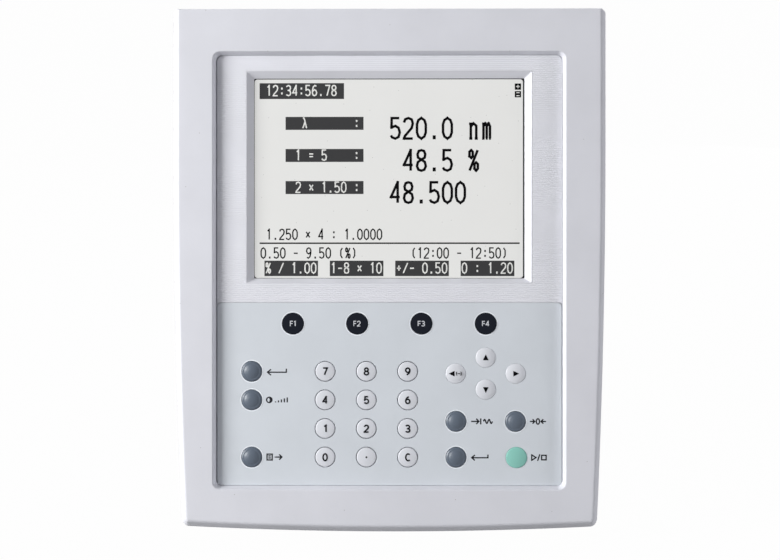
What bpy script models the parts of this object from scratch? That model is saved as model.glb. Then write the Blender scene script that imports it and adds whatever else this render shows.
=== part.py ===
"""A compact bench-top UV spectrophotometer whose front is one leaning operator panel.

Metres, +X to the right of the panel, +Y to the rear, +Z up. The origin is the centre of
the base of the whole instrument. Pieces are placed from the empty "front_edge", at the
foremost point of the panel, so their Y values are depths behind it. The panel's own
pieces are placed from the empty "panel": its X runs along the face, its Y up the face
and its Z out of the face.
"""

from math import cos, pi, radians, sin, sqrt

import bmesh
import bpy
from mathutils import Matrix, Vector

# Whole instrument
DEPTH = 0.332
LEAN = radians(10)
GAP = 0.0003
SHEET = 0.002
ROUND_SIDES = 16

# Console shell, in the panel's own frame
PANEL_HEIGHT = 0.2315
PANEL_HALF_TOP = 0.096
PANEL_DEPTH = 0.030
PANEL_WALL = 0.003
PANEL_FLARE = 0.0023
FLARE_DEPTH = 0.003
PANEL_LIFT = 0.0075
SIDE_ARC_RADIUS = 7.0
BOTTOM_ARC_RADIUS = 1.75
TOP_CORNER = 0.0022
BOTTOM_CORNER = 0.003
FACE_THICKNESS = 0.0065

# Recess of the face, with its sloped walls
RECESS_HALF_WIDTH = 0.0785
RECESS_LOW = 0.0182
RECESS_HIGH = 0.2129
RECESS_SLOPE = 0.002
RECESS_DEPTH = 0.0035
RECESS_CORNER = 0.0026

# Display
WINDOW_HALF_WIDTH = 0.05925
WINDOW_LOW = 0.1123
WINDOW_HIGH = 0.2000
WINDOW_CORNER = 0.001
WINDOW_LIP = 0.0005
BEZEL_SIDE = 0.0039
BEZEL_TOP = 0.0040
BEZEL_BOTTOM = 0.0029
GLASS_MARGIN = 0.005
GLASS_THICKNESS = 0.002
MODULE_HALF_WIDTH = 0.080
MODULE_HEIGHT = 0.104
MODULE_THICKNESS = 0.008

# Keypad
KEYPAD_TOP = 0.1012
KEYPAD_THICKNESS = 0.0015
KEYPAD_CORNER = 0.0018
KEYPAD_LEDGE = 0.003
KEY_FLANGE = 0.0009
KEY_FLANGE_THICKNESS = 0.001
KEY_PROUD = 0.001
KEY_EDGE = 0.0005
KEY_TRAVEL = 0.0008
SWITCH_SIDE = 0.006
SWITCH_HEIGHT = 0.003
BOARD_THICKNESS = 0.0016
BOARD_MARGIN = 0.0065
BOARD_OVERLAP = 0.0015
BOSS_RADIUS = 0.003
BOSS_INSET = 0.004
POCKET_INSET = 0.0002
CUT = 0.001
FLANGE_BOSSES = (-0.070, -0.025, 0.025, 0.070)
FLANGE_BOSS_ROW = 0.0125

# Keys: (name, place across the face, place up the face, radius, look)
KEY_RADIUS = 0.0047
ROUND_KEY_RADIUS = 0.0048
SIDE_KEY_RADIUS = 0.0046
FUNCTION_ROW = 0.0919
FUNCTION_PITCH = 0.0284
NUMBER_COLUMN = -0.0286
NUMBER_PITCH = 0.0183
ROW_PITCH = 0.0127
LAST_ROW = 0.0327
SIDE_COLUMN = -0.0611
ARROW_CENTRE = (0.0427, 0.0698)
ARROW_SPREAD = (0.0133, 0.0071)
COMMAND_COLUMNS = (0.0294, 0.0559)
COMMAND_ROW = 0.0486

# Chassis, cover and lid
FOOT_HEIGHT = 0.010
FOOT_RADIUS = 0.009
FOOT_EDGE = 0.001
FEET_FRONT = 0.068
FEET_REAR_INSET = 0.032
FEET_SIDE_INSET = 0.019
COVER_HALF_WIDTH = 0.093
COVER_TOP = 0.218
COVER_BOTTOM = 0.0115
RISER_ROOT = 0.020
CHASSIS_LIP = 0.020
FLANGE_HEIGHT = 0.040
HATCH_HALF_WIDTH = 0.066
HATCH_FRONT = 0.090
HATCH_REAR = 0.184
LID_OVERLAP = 0.005
LID_HEIGHT = 0.010
LID_WALL = 0.0025
LID_CORNER = 0.004
HINGE_PLACE = 0.050
HINGE_SETBACK = 0.0045
HINGE_RISE = 0.005
KNUCKLE_RADIUS = 0.0035
KNUCKLE_LENGTH = 0.012
LUG_LENGTH = 0.004
PIN_RADIUS = 0.0015
GRIP_HALF_WIDTH = 0.025
GRIP_REACH = 0.005
LOUVRES = 8
LOUVRE_PITCH = 0.009
LOUVRE_LENGTH = 0.070
LOUVRE_LOW = 0.115
LOUVRE_WIDTH = 0.003

# Sample compartment
BENCH_TOP = 0.104
BENCH_THICKNESS = 0.006
BENCH_SIDE_CLEARANCE = 0.006
BENCH_FRONT = 0.054
BENCH_REAR_CLEARANCE = 0.010
BEAM_RISE = 0.041
WELL_HALF_WIDTH = 0.063
WELL_FRONT = 0.092
WELL_REAR = 0.180
WELL_FLANGE = 0.008
BEAM_PORT = 0.005
CELLS = 4
CELL_PITCH = 0.016
CELL_SIDE = 0.0126
CELL_DEPTH = 0.035
CELL_WINDOW = 0.005
CARRIAGE_RISE = 0.020
CARRIAGE_HALF_DEPTH = 0.0125
CARRIAGE_TRAVEL = 0.048
RAIL_RADIUS = 0.0025
RAIL_SPREAD = 0.0075
SCREW_ROD_RADIUS = 0.002
MOTOR_SIDE = 0.020
MOTOR_SOCKET = 0.006
BRACKET_THICKNESS = 0.0035

# Optics
SLIT_PLACE = 0.203
SLIT_WIDTH = 0.001
SLIT_LENGTH = 0.010
WHEEL_PLACE = 0.189
WHEEL_RADIUS = 0.024
WHEEL_OFFSET = 0.017
WHEEL_HOLES = 6
FILTER_RADIUS = 0.005
GRATING_PLACE = 0.288
TURNTABLE_RADIUS = 0.016
TURNTABLE_THICKNESS = 0.006
SHAFT_RADIUS = 0.003
SHAFT_REACH = 0.012
GRATING_MOTOR = 0.028
SLIT_WALL = 0.030
SLIT_STANDOFF = 0.006
FOLD_TURN = radians(71)
GRATING_THICKNESS = 0.008
GRATING_TURN = radians(-19)
LAMP_MIRROR = 0.022
WHEEL_HUB = 0.006
WHEEL_MOTOR = 0.016
AXLE_RADIUS = 0.0015
DETECTOR_HALF = 0.014
DETECTOR_DEPTH = 0.018
DEUTERIUM_RADIUS = 0.013
HALOGEN_RADIUS = 0.006
LAMP_BASE = 0.012
HOUSE_SLOTS = 6
LEG_RADIUS = 0.005
FOLD_PLACE = (-0.030, 0.253)
LAMP_HOUSE_WIDTH = 0.0425
LAMP_HOUSE_CLEARANCE = 0.0065
LAMP_HOUSE_FRONT = 0.208
LAMP_HOUSE_REAR = 0.300
LAMP_HOUSE_RISE = 0.050
LAMP_INSET = 0.0205
LAMP_REACH = 0.027

# Rear wall
FAN_SIDE = 0.060
FAN_DEPTH = 0.025
FAN_SIDE_CLEARANCE = 0.009
FAN_LIFT = 0.026
FAN_BORE = 0.028
FAN_HUB = 0.011
FAN_CORNER = 0.004
FAN_STRUT = 0.003
FAN_TIP = 0.001
BLADE_THICKNESS = 0.0012
BLADE_PITCH = radians(40)
FAN_BLADES = 7
GRILLE_BARS = 9
GRILLE_PITCH = 0.0058
GRILLE_SLOT = 0.003
INLET_INSET = 0.037
INLET_HEIGHT = 0.050
INLET_BODY = (0.027, 0.046)
INLET_DEPTH = 0.022
INLET_SOCKET = (0.024, 0.0165)
INLET_RIM = 0.002
SOCKET_DEPTH = 0.016
INLET_PIN_SPREAD = 0.007
INLET_PIN_LENGTH = 0.010
ROCKER_WIDTH = 0.012
ROCKER_LENGTH = 0.018
ROCKER_POCKET = 0.012
ROCKER_SWING = 16
ROCKER_SINK = 0.005
ROCKER_AXIS = 0.004
ROCKER_FACE = 0.004
ROCKER_HUB = 0.007
ROCKER_DIP = 0.0015
PORT_SIZES = ((0.032, 0.0125), (0.014, 0.0125))
PORT_INSET = 0.035
PORT_PITCH = 0.031
PORT_DEPTH = 0.016
PORT_RIM = 0.0015
PORT_SOCKET = 0.007
CONTROL_INSET = 0.017
CONTROL_WIDTH = 0.066
CONTROL_LENGTH = 0.127
CONTROL_HEIGHT = 0.030
STANDOFF_RADIUS = 0.003
CHIP_HEIGHT = 0.003
SUPPLY_INSET = 0.013
SUPPLY_FRONT = 0.068
SUPPLY_SIZE = (0.070, 0.130, 0.055)
SUPPLY_SLOTS = 9

# Worked out from the sizes above
FACE_LOW = PANEL_FLARE
PANEL_PLACE = (0, -FACE_LOW * sin(LEAN), PANEL_LIFT)
FLOOR_HALF_WIDTH = RECESS_HALF_WIDTH - RECESS_SLOPE
FLOOR_LOW = RECESS_LOW + RECESS_SLOPE
FLOOR_HIGH = RECESS_HIGH - RECESS_SLOPE
POCKET_FLOOR = -(RECESS_DEPTH + KEYPAD_THICKNESS - 0.0002)
KEYPAD_REAR = POCKET_FLOOR + GAP
KEYPAD_FACE = KEYPAD_REAR + KEYPAD_THICKNESS
FLANGE_FRONT = KEYPAD_REAR - GAP
FLANGE_REAR = FLANGE_FRONT - KEY_FLANGE_THICKNESS
SWITCH_TOP = FLANGE_REAR - KEY_TRAVEL - GAP
BOARD_FACE = SWITCH_TOP - SWITCH_HEIGHT
GLASS_FACE = -FACE_THICKNESS - GAP
MODULE_FACE = GLASS_FACE - GLASS_THICKNESS - GAP
WINDOW_CENTRE = (WINDOW_LOW + WINDOW_HIGH) / 2
BEAM_HEIGHT = BENCH_TOP + BEAM_RISE
CARRIAGE_TOP = BEAM_HEIGHT + CARRIAGE_RISE
LAMP_HOUSE_TOP = BEAM_HEIGHT + LAMP_HOUSE_RISE
FEET_REAR = DEPTH - FEET_REAR_INSET
FEET_HALF_SPREAD = COVER_HALF_WIDTH - FEET_SIDE_INSET
BENCH_HALF_WIDTH = COVER_HALF_WIDTH - BENCH_SIDE_CLEARANCE
BENCH_REAR = DEPTH - BENCH_REAR_CLEARANCE
LAMP_HOUSE_RIGHT = COVER_HALF_WIDTH - LAMP_HOUSE_CLEARANCE
LAMP_HOUSE_LEFT = LAMP_HOUSE_RIGHT - LAMP_HOUSE_WIDTH
LAMP_COLUMN = LAMP_HOUSE_RIGHT - LAMP_INSET
FAN_ACROSS = COVER_HALF_WIDTH - FAN_SIDE_CLEARANCE - FAN_SIDE / 2
FAN_HEIGHT = BENCH_TOP + FAN_LIFT + FAN_SIDE / 2
INLET_ACROSS = COVER_HALF_WIDTH - INLET_INSET
FIRST_PORT = -COVER_HALF_WIDTH + PORT_INSET
PORTS = [(FIRST_PORT + i * PORT_PITCH, *size) for i, size in enumerate(PORT_SIZES)]
CONTROL_LEFT = -COVER_HALF_WIDTH + CONTROL_INSET
CONTROL_RIGHT = CONTROL_LEFT + CONTROL_WIDTH
CONTROL_FRONT = DEPTH - CONTROL_LENGTH
SUPPLY_LEFT = -COVER_HALF_WIDTH + SUPPLY_INSET
CHASSIS_TOP = FOOT_HEIGHT + SHEET
REAR_INNER = DEPTH - SHEET
WELL_FLOOR = BENCH_TOP + GAP + SHEET
WELL_TOP = COVER_TOP - SHEET - GAP
DRIVE_HEIGHT = BENCH_TOP + GAP + MOTOR_SIDE / 2
CELL_ROW = (WELL_FRONT + WELL_REAR) / 2
REST_SHIFT = -CARRIAGE_TRAVEL / 2
CARRIAGE_HALF = (CELLS - 1) * CELL_PITCH / 2 + CELL_SIDE / 2 + 0.0035
HINGE_DEPTH = HATCH_REAR + LID_OVERLAP + HINGE_SETBACK
HINGE_HEIGHT = COVER_TOP + HINGE_RISE
PORT_BASE = CONTROL_HEIGHT - BOARD_THICKNESS / 2


def clear_scene():
    for old in list(bpy.data.objects):
        bpy.data.objects.remove(old)


def look(name, colour, roughness, metallic=0.0):
    """A material with one colour."""
    made = bpy.data.materials.new(name)
    made.use_nodes = True
    shader = made.node_tree.nodes["Principled BSDF"]
    shader.inputs["Base Color"].default_value = (*colour, 1)
    shader.inputs["Roughness"].default_value = roughness
    shader.inputs["Metallic"].default_value = metallic
    return made


def empty(name, place, turn=(0, 0, 0), parent=None):
    made = bpy.data.objects.new(name, None)
    made.location = place
    made.rotation_euler = turn
    made.parent = parent
    bpy.context.collection.objects.link(made)
    return made


def lofted(rings):
    """A closed body through rings of as many points each, capped at both ends."""
    body = bmesh.new()
    rows = [[body.verts.new(point) for point in ring] for ring in rings]
    for first, second in zip(rows, rows[1:]):
        for i, point in enumerate(first):
            after = (i + 1) % len(first)
            body.faces.new((point, first[after], second[after], second[i]))
    body.faces.new(rows[0])
    body.faces.new(rows[-1])
    bmesh.ops.recalc_face_normals(body, faces=body.faces)
    return body


def along(axis, outline, place):
    """A flat outline's points, set square to an axis at a place on it."""
    if axis == "X":
        return [(place, a, b) for a, b in outline]
    if axis == "Y":
        return [(a, place, b) for a, b in outline]
    return [(a, b, place) for a, b in outline]


def prism(outline, low, high, axis="Z"):
    return lofted([along(axis, outline, low), along(axis, outline, high)])


def box(low, high):
    outline = [(low[0], low[1]), (high[0], low[1]), (high[0], high[1]), (low[0], high[1])]
    return prism(outline, low[2], high[2])


def block(centre, size):
    """A box from its centre and its full sizes."""
    low = [c - s / 2 for c, s in zip(centre, size)]
    high = [c + s / 2 for c, s in zip(centre, size)]
    return box(low, high)


def circle(radius, centre=(0, 0), sides=ROUND_SIDES):
    points = []
    for i in range(sides):
        angle = 2 * pi * i / sides
        points.append((centre[0] + radius * cos(angle), centre[1] + radius * sin(angle)))
    return points


def rod(radius, centre, low, high, axis="Z", sides=ROUND_SIDES):
    return prism(circle(radius, centre, sides), low, high, axis)


def turned(profile, centre=(0, 0), axis="Z", sides=ROUND_SIDES):
    """A solid of revolution: the profile's (radius, place) pairs run along the axis."""
    rings = [along(axis, circle(radius, centre, sides), place) for radius, place in profile]
    return lofted(rings)


def rounded(low, high, corner, steps=3):
    """A rectangle's outline with round corners."""
    points = []
    centres = [
        (high[0] - corner, high[1] - corner),
        (low[0] + corner, high[1] - corner),
        (low[0] + corner, low[1] + corner),
        (high[0] - corner, low[1] + corner),
    ]
    for quarter, centre in enumerate(centres):
        for i in range(steps + 1):
            angle = pi / 2 * (quarter + i / steps)
            points.append((centre[0] + corner * cos(angle), centre[1] + corner * sin(angle)))
    return points


def moved(body, shift=(0, 0, 0), turn=0, axis="Z"):
    """The same body turned about an axis through the origin, then shifted."""
    bmesh.ops.transform(body, matrix=Matrix.Rotation(turn, 4, axis), verts=body.verts)
    bmesh.ops.translate(body, vec=Vector(shift), verts=body.verts)
    return body


def joined(bodies):
    whole = bmesh.new()
    for body in bodies:
        piece = bpy.data.meshes.new("piece")
        body.to_mesh(piece)
        body.free()
        whole.from_mesh(piece)
        bpy.data.meshes.remove(piece)
    return whole


def mesh_object(name, body, parent, place=(0, 0, 0), turn=(0, 0, 0)):
    mesh = bpy.data.meshes.new(name)
    body.to_mesh(mesh)
    body.free()
    made = bpy.data.objects.new(name, mesh)
    made.location = place
    made.rotation_euler = turn
    made.parent = parent
    bpy.context.collection.objects.link(made)
    return made


def combine(target, bodies, operation):
    """Adds bodies to an object, or cuts them out of it, by one Boolean modifier."""
    if not bodies:
        return
    tool = mesh_object(target.name + "_" + operation.lower(), joined(bodies), target.parent)
    tool.location = target.location
    tool.rotation_euler = target.rotation_euler
    tool.hide_render = True
    tool.display_type = "WIRE"
    step = target.modifiers.new(operation, "BOOLEAN")
    step.operation = operation
    step.solver = "EXACT"
    step.use_self = True
    step.object = tool


def part(name, material, parent, bodies, added=(), cut=(), place=(0, 0, 0), turn=(0, 0, 0)):
    """One sub-part: separate bodies, what is fused to them and what is cut from them."""
    made = mesh_object(name, joined(bodies), parent, place, turn)
    made.data.materials.append(material)
    made.data.shade_smooth()
    made.data.set_sharp_from_angle(angle=radians(30))
    combine(made, list(added), "UNION")
    combine(made, list(cut), "DIFFERENCE")
    return made


def half_width(up):
    """Half the panel's width at a height: a long arc, upright at the top."""
    drop = PANEL_HEIGHT - up
    return PANEL_HALF_TOP - SIDE_ARC_RADIUS + sqrt(SIDE_ARC_RADIUS**2 - drop**2)


def bow(across):
    """How far the panel's lower edge has risen at a distance from its middle."""
    return BOTTOM_ARC_RADIUS - sqrt(BOTTOM_ARC_RADIUS**2 - across**2)


def panel_outline(side, low, top, side_steps=8, low_steps=6, corner_steps=3):
    """The panel's outline drawn in at its sides, its foot and its head."""
    foot_corner = max(BOTTOM_CORNER - side, TOP_CORNER / 4)
    head_corner = max(TOP_CORNER - side, TOP_CORNER / 4)
    head = PANEL_HEIGHT - top - head_corner
    reach = half_width(low) - side - foot_corner
    foot = low + bow(reach) + foot_corner
    points = [(reach * i / low_steps, low + bow(reach * i / low_steps)) for i in range(low_steps)]
    for i in range(corner_steps):
        angle = pi / 2 * (i / corner_steps - 1)
        points.append((reach + foot_corner * cos(angle), foot + foot_corner * sin(angle)))
    for i in range(side_steps):
        up = foot + (head - foot) * i / side_steps
        points.append((half_width(up) - side, up))
    head_reach = half_width(head) - side - head_corner
    for i in range(corner_steps + 1):
        angle = pi / 2 * i / corner_steps
        points.append((head_reach + head_corner * cos(angle), head + head_corner * sin(angle)))
    return points + [(-across, up) for across, up in reversed(points[1:])]


def recess_outline(grow):
    low = (-FLOOR_HALF_WIDTH - grow, FLOOR_LOW - grow)
    high = (FLOOR_HALF_WIDTH + grow, FLOOR_HIGH + grow)
    return rounded(low, high, RECESS_CORNER)


def pocket_outline(inset):
    """The keypad's pocket, or the keypad itself, drawn in from the recess floor."""
    edge = POCKET_INSET + inset
    low = (-FLOOR_HALF_WIDTH + edge, FLOOR_LOW + edge)
    high = (FLOOR_HALF_WIDTH - edge, KEYPAD_TOP + GAP - inset)
    return rounded(low, high, max(KEYPAD_CORNER, inset + KEYPAD_CORNER / 4))


def window_outline(share):
    """The display's opening at a share of its slope: 0 is the window, 1 its outer edge."""
    side = WINDOW_HALF_WIDTH + BEZEL_SIDE * share
    low = WINDOW_LOW - BEZEL_BOTTOM * share
    return rounded((-side, low), (side, WINDOW_HIGH + BEZEL_TOP * share), WINDOW_CORNER)


def board_bosses():
    """Centres of the bosses that carry the key board."""
    low, high = board_span()
    side = FLOOR_HALF_WIDTH + BOARD_MARGIN - BOSS_INSET
    ups = (low + BOSS_INSET, (low + high) / 2, high - BOSS_INSET)
    return [(way * side, up) for way in (-1, 1) for up in ups]


def board_span():
    return FLOOR_LOW - BOARD_OVERLAP / 2, KEYPAD_TOP + BOARD_OVERLAP


def module_bosses():
    side = MODULE_HALF_WIDTH - BOSS_INSET
    reach = MODULE_HEIGHT / 2 - BOSS_INSET
    return [(x * side, WINDOW_CENTRE + y * reach) for x in (-1, 1) for y in (-1, 1)]


def console_shell(panel, plastic):
    rings = [
        along("Z", panel_outline(PANEL_FLARE, FACE_LOW, 0), 0),
        along("Z", panel_outline(0, 0, 0), -FLARE_DEPTH),
        along("Z", panel_outline(0, 0, 0), -PANEL_DEPTH),
    ]
    wall = PANEL_WALL
    hollow = prism(panel_outline(wall, wall, wall), -PANEL_DEPTH - CUT, -FACE_THICKNESS)
    rise = CUT * RECESS_SLOPE / RECESS_DEPTH
    recess = lofted([
        along("Z", recess_outline(0), -RECESS_DEPTH),
        along("Z", recess_outline(RECESS_SLOPE + rise), CUT),
    ])
    pocket = prism(pocket_outline(0), POCKET_FLOOR, -RECESS_DEPTH + CUT)
    keys = prism(pocket_outline(KEYPAD_LEDGE), -FACE_THICKNESS - CUT, POCKET_FLOOR + CUT)
    slope_depth = FACE_THICKNESS - WINDOW_LIP - RECESS_DEPTH
    display = lofted([
        along("Z", window_outline(0), -FACE_THICKNESS - CUT),
        along("Z", window_outline(0), -FACE_THICKNESS + WINDOW_LIP),
        along("Z", window_outline(1 + CUT / slope_depth), -RECESS_DEPTH + CUT),
    ])
    shell = part("console_shell", plastic, panel, [lofted(rings)], cut=[hollow])
    combine(shell, [recess, keys], "DIFFERENCE")
    combine(shell, [pocket, display], "DIFFERENCE")
    root = -FACE_THICKNESS + CUT
    bosses = [rod(BOSS_RADIUS, c, BOARD_FACE + GAP, root, sides=12) for c in board_bosses()]
    bosses += [rod(BOSS_RADIUS, c, MODULE_FACE + GAP, root, sides=12) for c in module_bosses()]
    for across in FLANGE_BOSSES:
        bosses.append(rod(BOSS_RADIUS, (across, FLANGE_BOSS_ROW), -PANEL_DEPTH, root, sides=12))
    combine(shell, bosses, "UNION")


def display_parts(panel, clear, dark):
    side = WINDOW_HALF_WIDTH + GLASS_MARGIN
    low = (-side, WINDOW_LOW - GLASS_MARGIN)
    high = (side, WINDOW_HIGH + GLASS_MARGIN)
    pane = prism(rounded(low, high, WINDOW_CORNER), GLASS_FACE - GLASS_THICKNESS, GLASS_FACE)
    part("lcd_glass", clear, panel, [pane])
    middle = (0, WINDOW_CENTRE, MODULE_FACE - MODULE_THICKNESS / 2)
    size = (2 * MODULE_HALF_WIDTH, MODULE_HEIGHT, MODULE_THICKNESS)
    part("lcd_module", dark, panel, [block(middle, size)])


def key_list():
    """Every key as (name, across, up, radius, kind)."""
    rows = [LAST_ROW + ROW_PITCH * i for i in range(4)]
    columns = [NUMBER_COLUMN + NUMBER_PITCH * i for i in range(3)]
    keys = []
    for i in range(4):
        across = (i - 1.5) * FUNCTION_PITCH
        keys.append((f"key_f{i + 1}", across, FUNCTION_ROW, ROUND_KEY_RADIUS, "black"))
    grid = (("0", "point", "clear"), ("1", "2", "3"), ("4", "5", "6"), ("7", "8", "9"))
    for up, names in zip(rows, grid):
        for across, name in zip(columns, names):
            keys.append((f"key_{name}", across, up, KEY_RADIUS, "light"))
    for name, up in (("print", rows[0]), ("contrast", rows[2]), ("return", rows[3])):
        keys.append((f"key_{name}", SIDE_COLUMN, up, SIDE_KEY_RADIUS, "slate"))
    for name, side, rise in (("up", 0, 1), ("down", 0, -1), ("left", -1, 0), ("right", 1, 0)):
        across = ARROW_CENTRE[0] + side * ARROW_SPREAD[0]
        up = ARROW_CENTRE[1] + rise * ARROW_SPREAD[1]
        keys.append((f"key_{name}", across, up, SIDE_KEY_RADIUS, "light"))
    first, second = COMMAND_COLUMNS
    keys.append(("key_goto", first, COMMAND_ROW, SIDE_KEY_RADIUS, "slate"))
    keys.append(("key_auto_zero", second, COMMAND_ROW, SIDE_KEY_RADIUS, "slate"))
    keys.append(("key_enter", first, LAST_ROW, SIDE_KEY_RADIUS, "slate"))
    keys.append(("key_start_stop", second, LAST_ROW, ROUND_KEY_RADIUS, "green"))
    return keys


def keypad_panel(panel, plastic):
    sheet = prism(pocket_outline(GAP), KEYPAD_REAR, KEYPAD_FACE)
    holes = []
    for _, across, up, radius, _ in key_list():
        holes.append(rod(radius + GAP, (across, up), KEYPAD_REAR - CUT, KEYPAD_FACE + CUT))
    part("keypad_panel", plastic, panel, [sheet], cut=holes)


def keys(panel, looks):
    for name, across, up, radius, kind in key_list():
        flange = radius + KEY_FLANGE
        top = KEYPAD_FACE + KEY_PROUD
        profile = [
            (flange, FLANGE_REAR),
            (flange, FLANGE_FRONT),
            (radius, FLANGE_FRONT),
            (radius, top - KEY_EDGE),
            (radius - KEY_EDGE, top),
        ]
        part(name, looks[kind], panel, [turned(profile)], place=(across, up, 0))


def key_board(panel, board):
    low, high = board_span()
    side = FLOOR_HALF_WIDTH + BOARD_MARGIN
    sheet = box((-side, low, BOARD_FACE - BOARD_THICKNESS), (side, high, BOARD_FACE))
    switches = []
    for _, across, up, _, _ in key_list():
        middle = (across, up, SWITCH_TOP - (SWITCH_HEIGHT + CUT / 2) / 2)
        switches.append(block(middle, (SWITCH_SIDE, SWITCH_SIDE, SWITCH_HEIGHT + CUT / 2)))
    part("key_board", board, panel, [sheet], added=switches)



def rear_plane(height, gap=0.0):
    """Depth of the console's leaning rear face at a height."""
    lift = (height - PANEL_PLACE[2]) * sin(LEAN)
    return PANEL_PLACE[1] + (PANEL_DEPTH + gap + lift) / cos(LEAN)


def leaned(body):
    """A body given in the panel's frame, turned and moved into the main frame."""
    return moved(body, PANEL_PLACE, pi / 2 - LEAN, "X")


def chassis(front, metal):
    inner = COVER_HALF_WIDTH - SHEET - GAP
    floor_front = rear_plane(CHASSIS_TOP, GAP + SHEET / 4)
    floor = box((-inner, floor_front, FOOT_HEIGHT), (inner, REAR_INNER + SHEET / 2, CHASSIS_TOP))
    wall = box((-COVER_HALF_WIDTH, REAR_INNER, FOOT_HEIGHT), (COVER_HALF_WIDTH, DEPTH, COVER_TOP))
    lips = []
    lip_front = floor_front + CHASSIS_LIP / 2
    for way in (-1, 1):
        edges = sorted((way * inner, way * (inner - SHEET)))
        lips.append(box((edges[0], lip_front, FOOT_HEIGHT + SHEET / 4),
                        (edges[1], REAR_INNER + SHEET / 4, CHASSIS_TOP + CHASSIS_LIP)))
    foot = (CHASSIS_TOP - SHEET / 2 - PANEL_PLACE[2] + PANEL_DEPTH * sin(LEAN)) / cos(LEAN)
    outer = -PANEL_DEPTH - GAP
    flange_half = BENCH_HALF_WIDTH - SHEET
    flange = leaned(box((-flange_half, foot, outer - SHEET), (flange_half, FLANGE_HEIGHT, outer)))
    made = part("chassis", metal, front, [floor], added=[wall, flange] + lips)
    rear_cuts = []
    for i in range(GRILLE_BARS):
        height = (i - (GRILLE_BARS - 1) / 2) * GRILLE_PITCH
        reach = sqrt((FAN_BORE - CUT) ** 2 - height**2)
        middle = (FAN_ACROSS, DEPTH - SHEET / 2, FAN_HEIGHT + height)
        rear_cuts.append(block(middle, (2 * reach, SHEET + 2 * CUT, GRILLE_SLOT)))
    middle = (INLET_ACROSS, DEPTH - SHEET / 2, INLET_HEIGHT)
    rear_cuts.append(block(middle, (INLET_BODY[0] + 2 * GAP, SHEET + 2 * CUT, INLET_BODY[1] + 2 * GAP)))
    for across, width, height in PORTS:
        half = width / 2 + GAP
        rear_cuts.append(box((across - half, REAR_INNER - CUT, PORT_BASE - GAP),
                             (across + half, DEPTH + CUT, CONTROL_HEIGHT + height + GAP)))
    combine(made, rear_cuts, "DIFFERENCE")


def rubber_feet(front, rubber):
    for side, across in (("left", -FEET_HALF_SPREAD), ("right", FEET_HALF_SPREAD)):
        for end, depth in (("front", FEET_FRONT), ("rear", FEET_REAR)):
            top = FOOT_HEIGHT - GAP
            profile = [(FOOT_RADIUS - FOOT_EDGE, 0), (FOOT_RADIUS, FOOT_EDGE), (FOOT_RADIUS, top)]
            part(f"foot_{end}_{side}", rubber, front, [turned(profile)], place=(across, depth, 0))


def knuckle_outline(base):
    """A rounded ear about the lid's hinge axis with its root at a height."""
    points = []
    for i in range(9):
        angle = pi * i / 8
        depth = HINGE_DEPTH + KNUCKLE_RADIUS * cos(angle)
        points.append((depth, HINGE_HEIGHT + KNUCKLE_RADIUS * sin(angle)))
    return points + [(HINGE_DEPTH - KNUCKLE_RADIUS, base), (HINGE_DEPTH + KNUCKLE_RADIUS, base)]


def lug_spans():
    """X spans of the cover's lugs, one each side of both lid knuckles."""
    spans = []
    for middle in (-HINGE_PLACE, HINGE_PLACE):
        edge = KNUCKLE_LENGTH / 2 + GAP
        spans.append((middle - edge - LUG_LENGTH, middle - edge))
        spans.append((middle + edge, middle + edge + LUG_LENGTH))
    return spans


def top_cover(front, paint):
    rear = REAR_INNER - GAP
    low, high = COVER_BOTTOM, COVER_TOP
    outline = [(rear_plane(low, GAP), low), (rear, low), (rear, high), (rear_plane(high, GAP), high)]
    shell = prism(outline, -COVER_HALF_WIDTH, COVER_HALF_WIDTH, "X")
    inner = COVER_HALF_WIDTH - SHEET
    hollow = box((-inner, 0, low - CUT), (inner, rear + CUT, high - SHEET))
    made = part("top_cover", paint, front, [shell], cut=[hollow])
    added = [prism(knuckle_outline(high - SHEET / 2), *span, "X") for span in lug_spans()]
    outer = -PANEL_DEPTH - GAP
    foot = (high - RISER_ROOT - PANEL_PLACE[2]) / cos(LEAN)
    side = PANEL_HALF_TOP - PANEL_WALL / 2
    riser = box((-side, foot, outer - SHEET), (side, PANEL_HEIGHT - PANEL_WALL / 2, outer))
    combine(made, added + [leaned(riser)], "UNION")
    cuts = [prism(rounded((-HATCH_HALF_WIDTH, HATCH_FRONT), (HATCH_HALF_WIDTH, HATCH_REAR), LID_CORNER),
                  high - SHEET - CUT, high + CUT)]
    for span in lug_spans():
        centre = (HINGE_DEPTH, HINGE_HEIGHT)
        cuts.append(rod(PIN_RADIUS + GAP, centre, span[0] - CUT, span[1] + CUT, "X", 12))
    middle = (LAMP_HOUSE_FRONT + LAMP_HOUSE_REAR) / 2
    for i in range(LOUVRES):
        height = LOUVRE_LOW + i * LOUVRE_PITCH
        for way in (-1, 1):
            cuts.append(block((way * (COVER_HALF_WIDTH - SHEET / 2), middle, height),
                              (SHEET + 2 * CUT, LOUVRE_LENGTH, LOUVRE_WIDTH)))
    combine(made, cuts, "DIFFERENCE")


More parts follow.
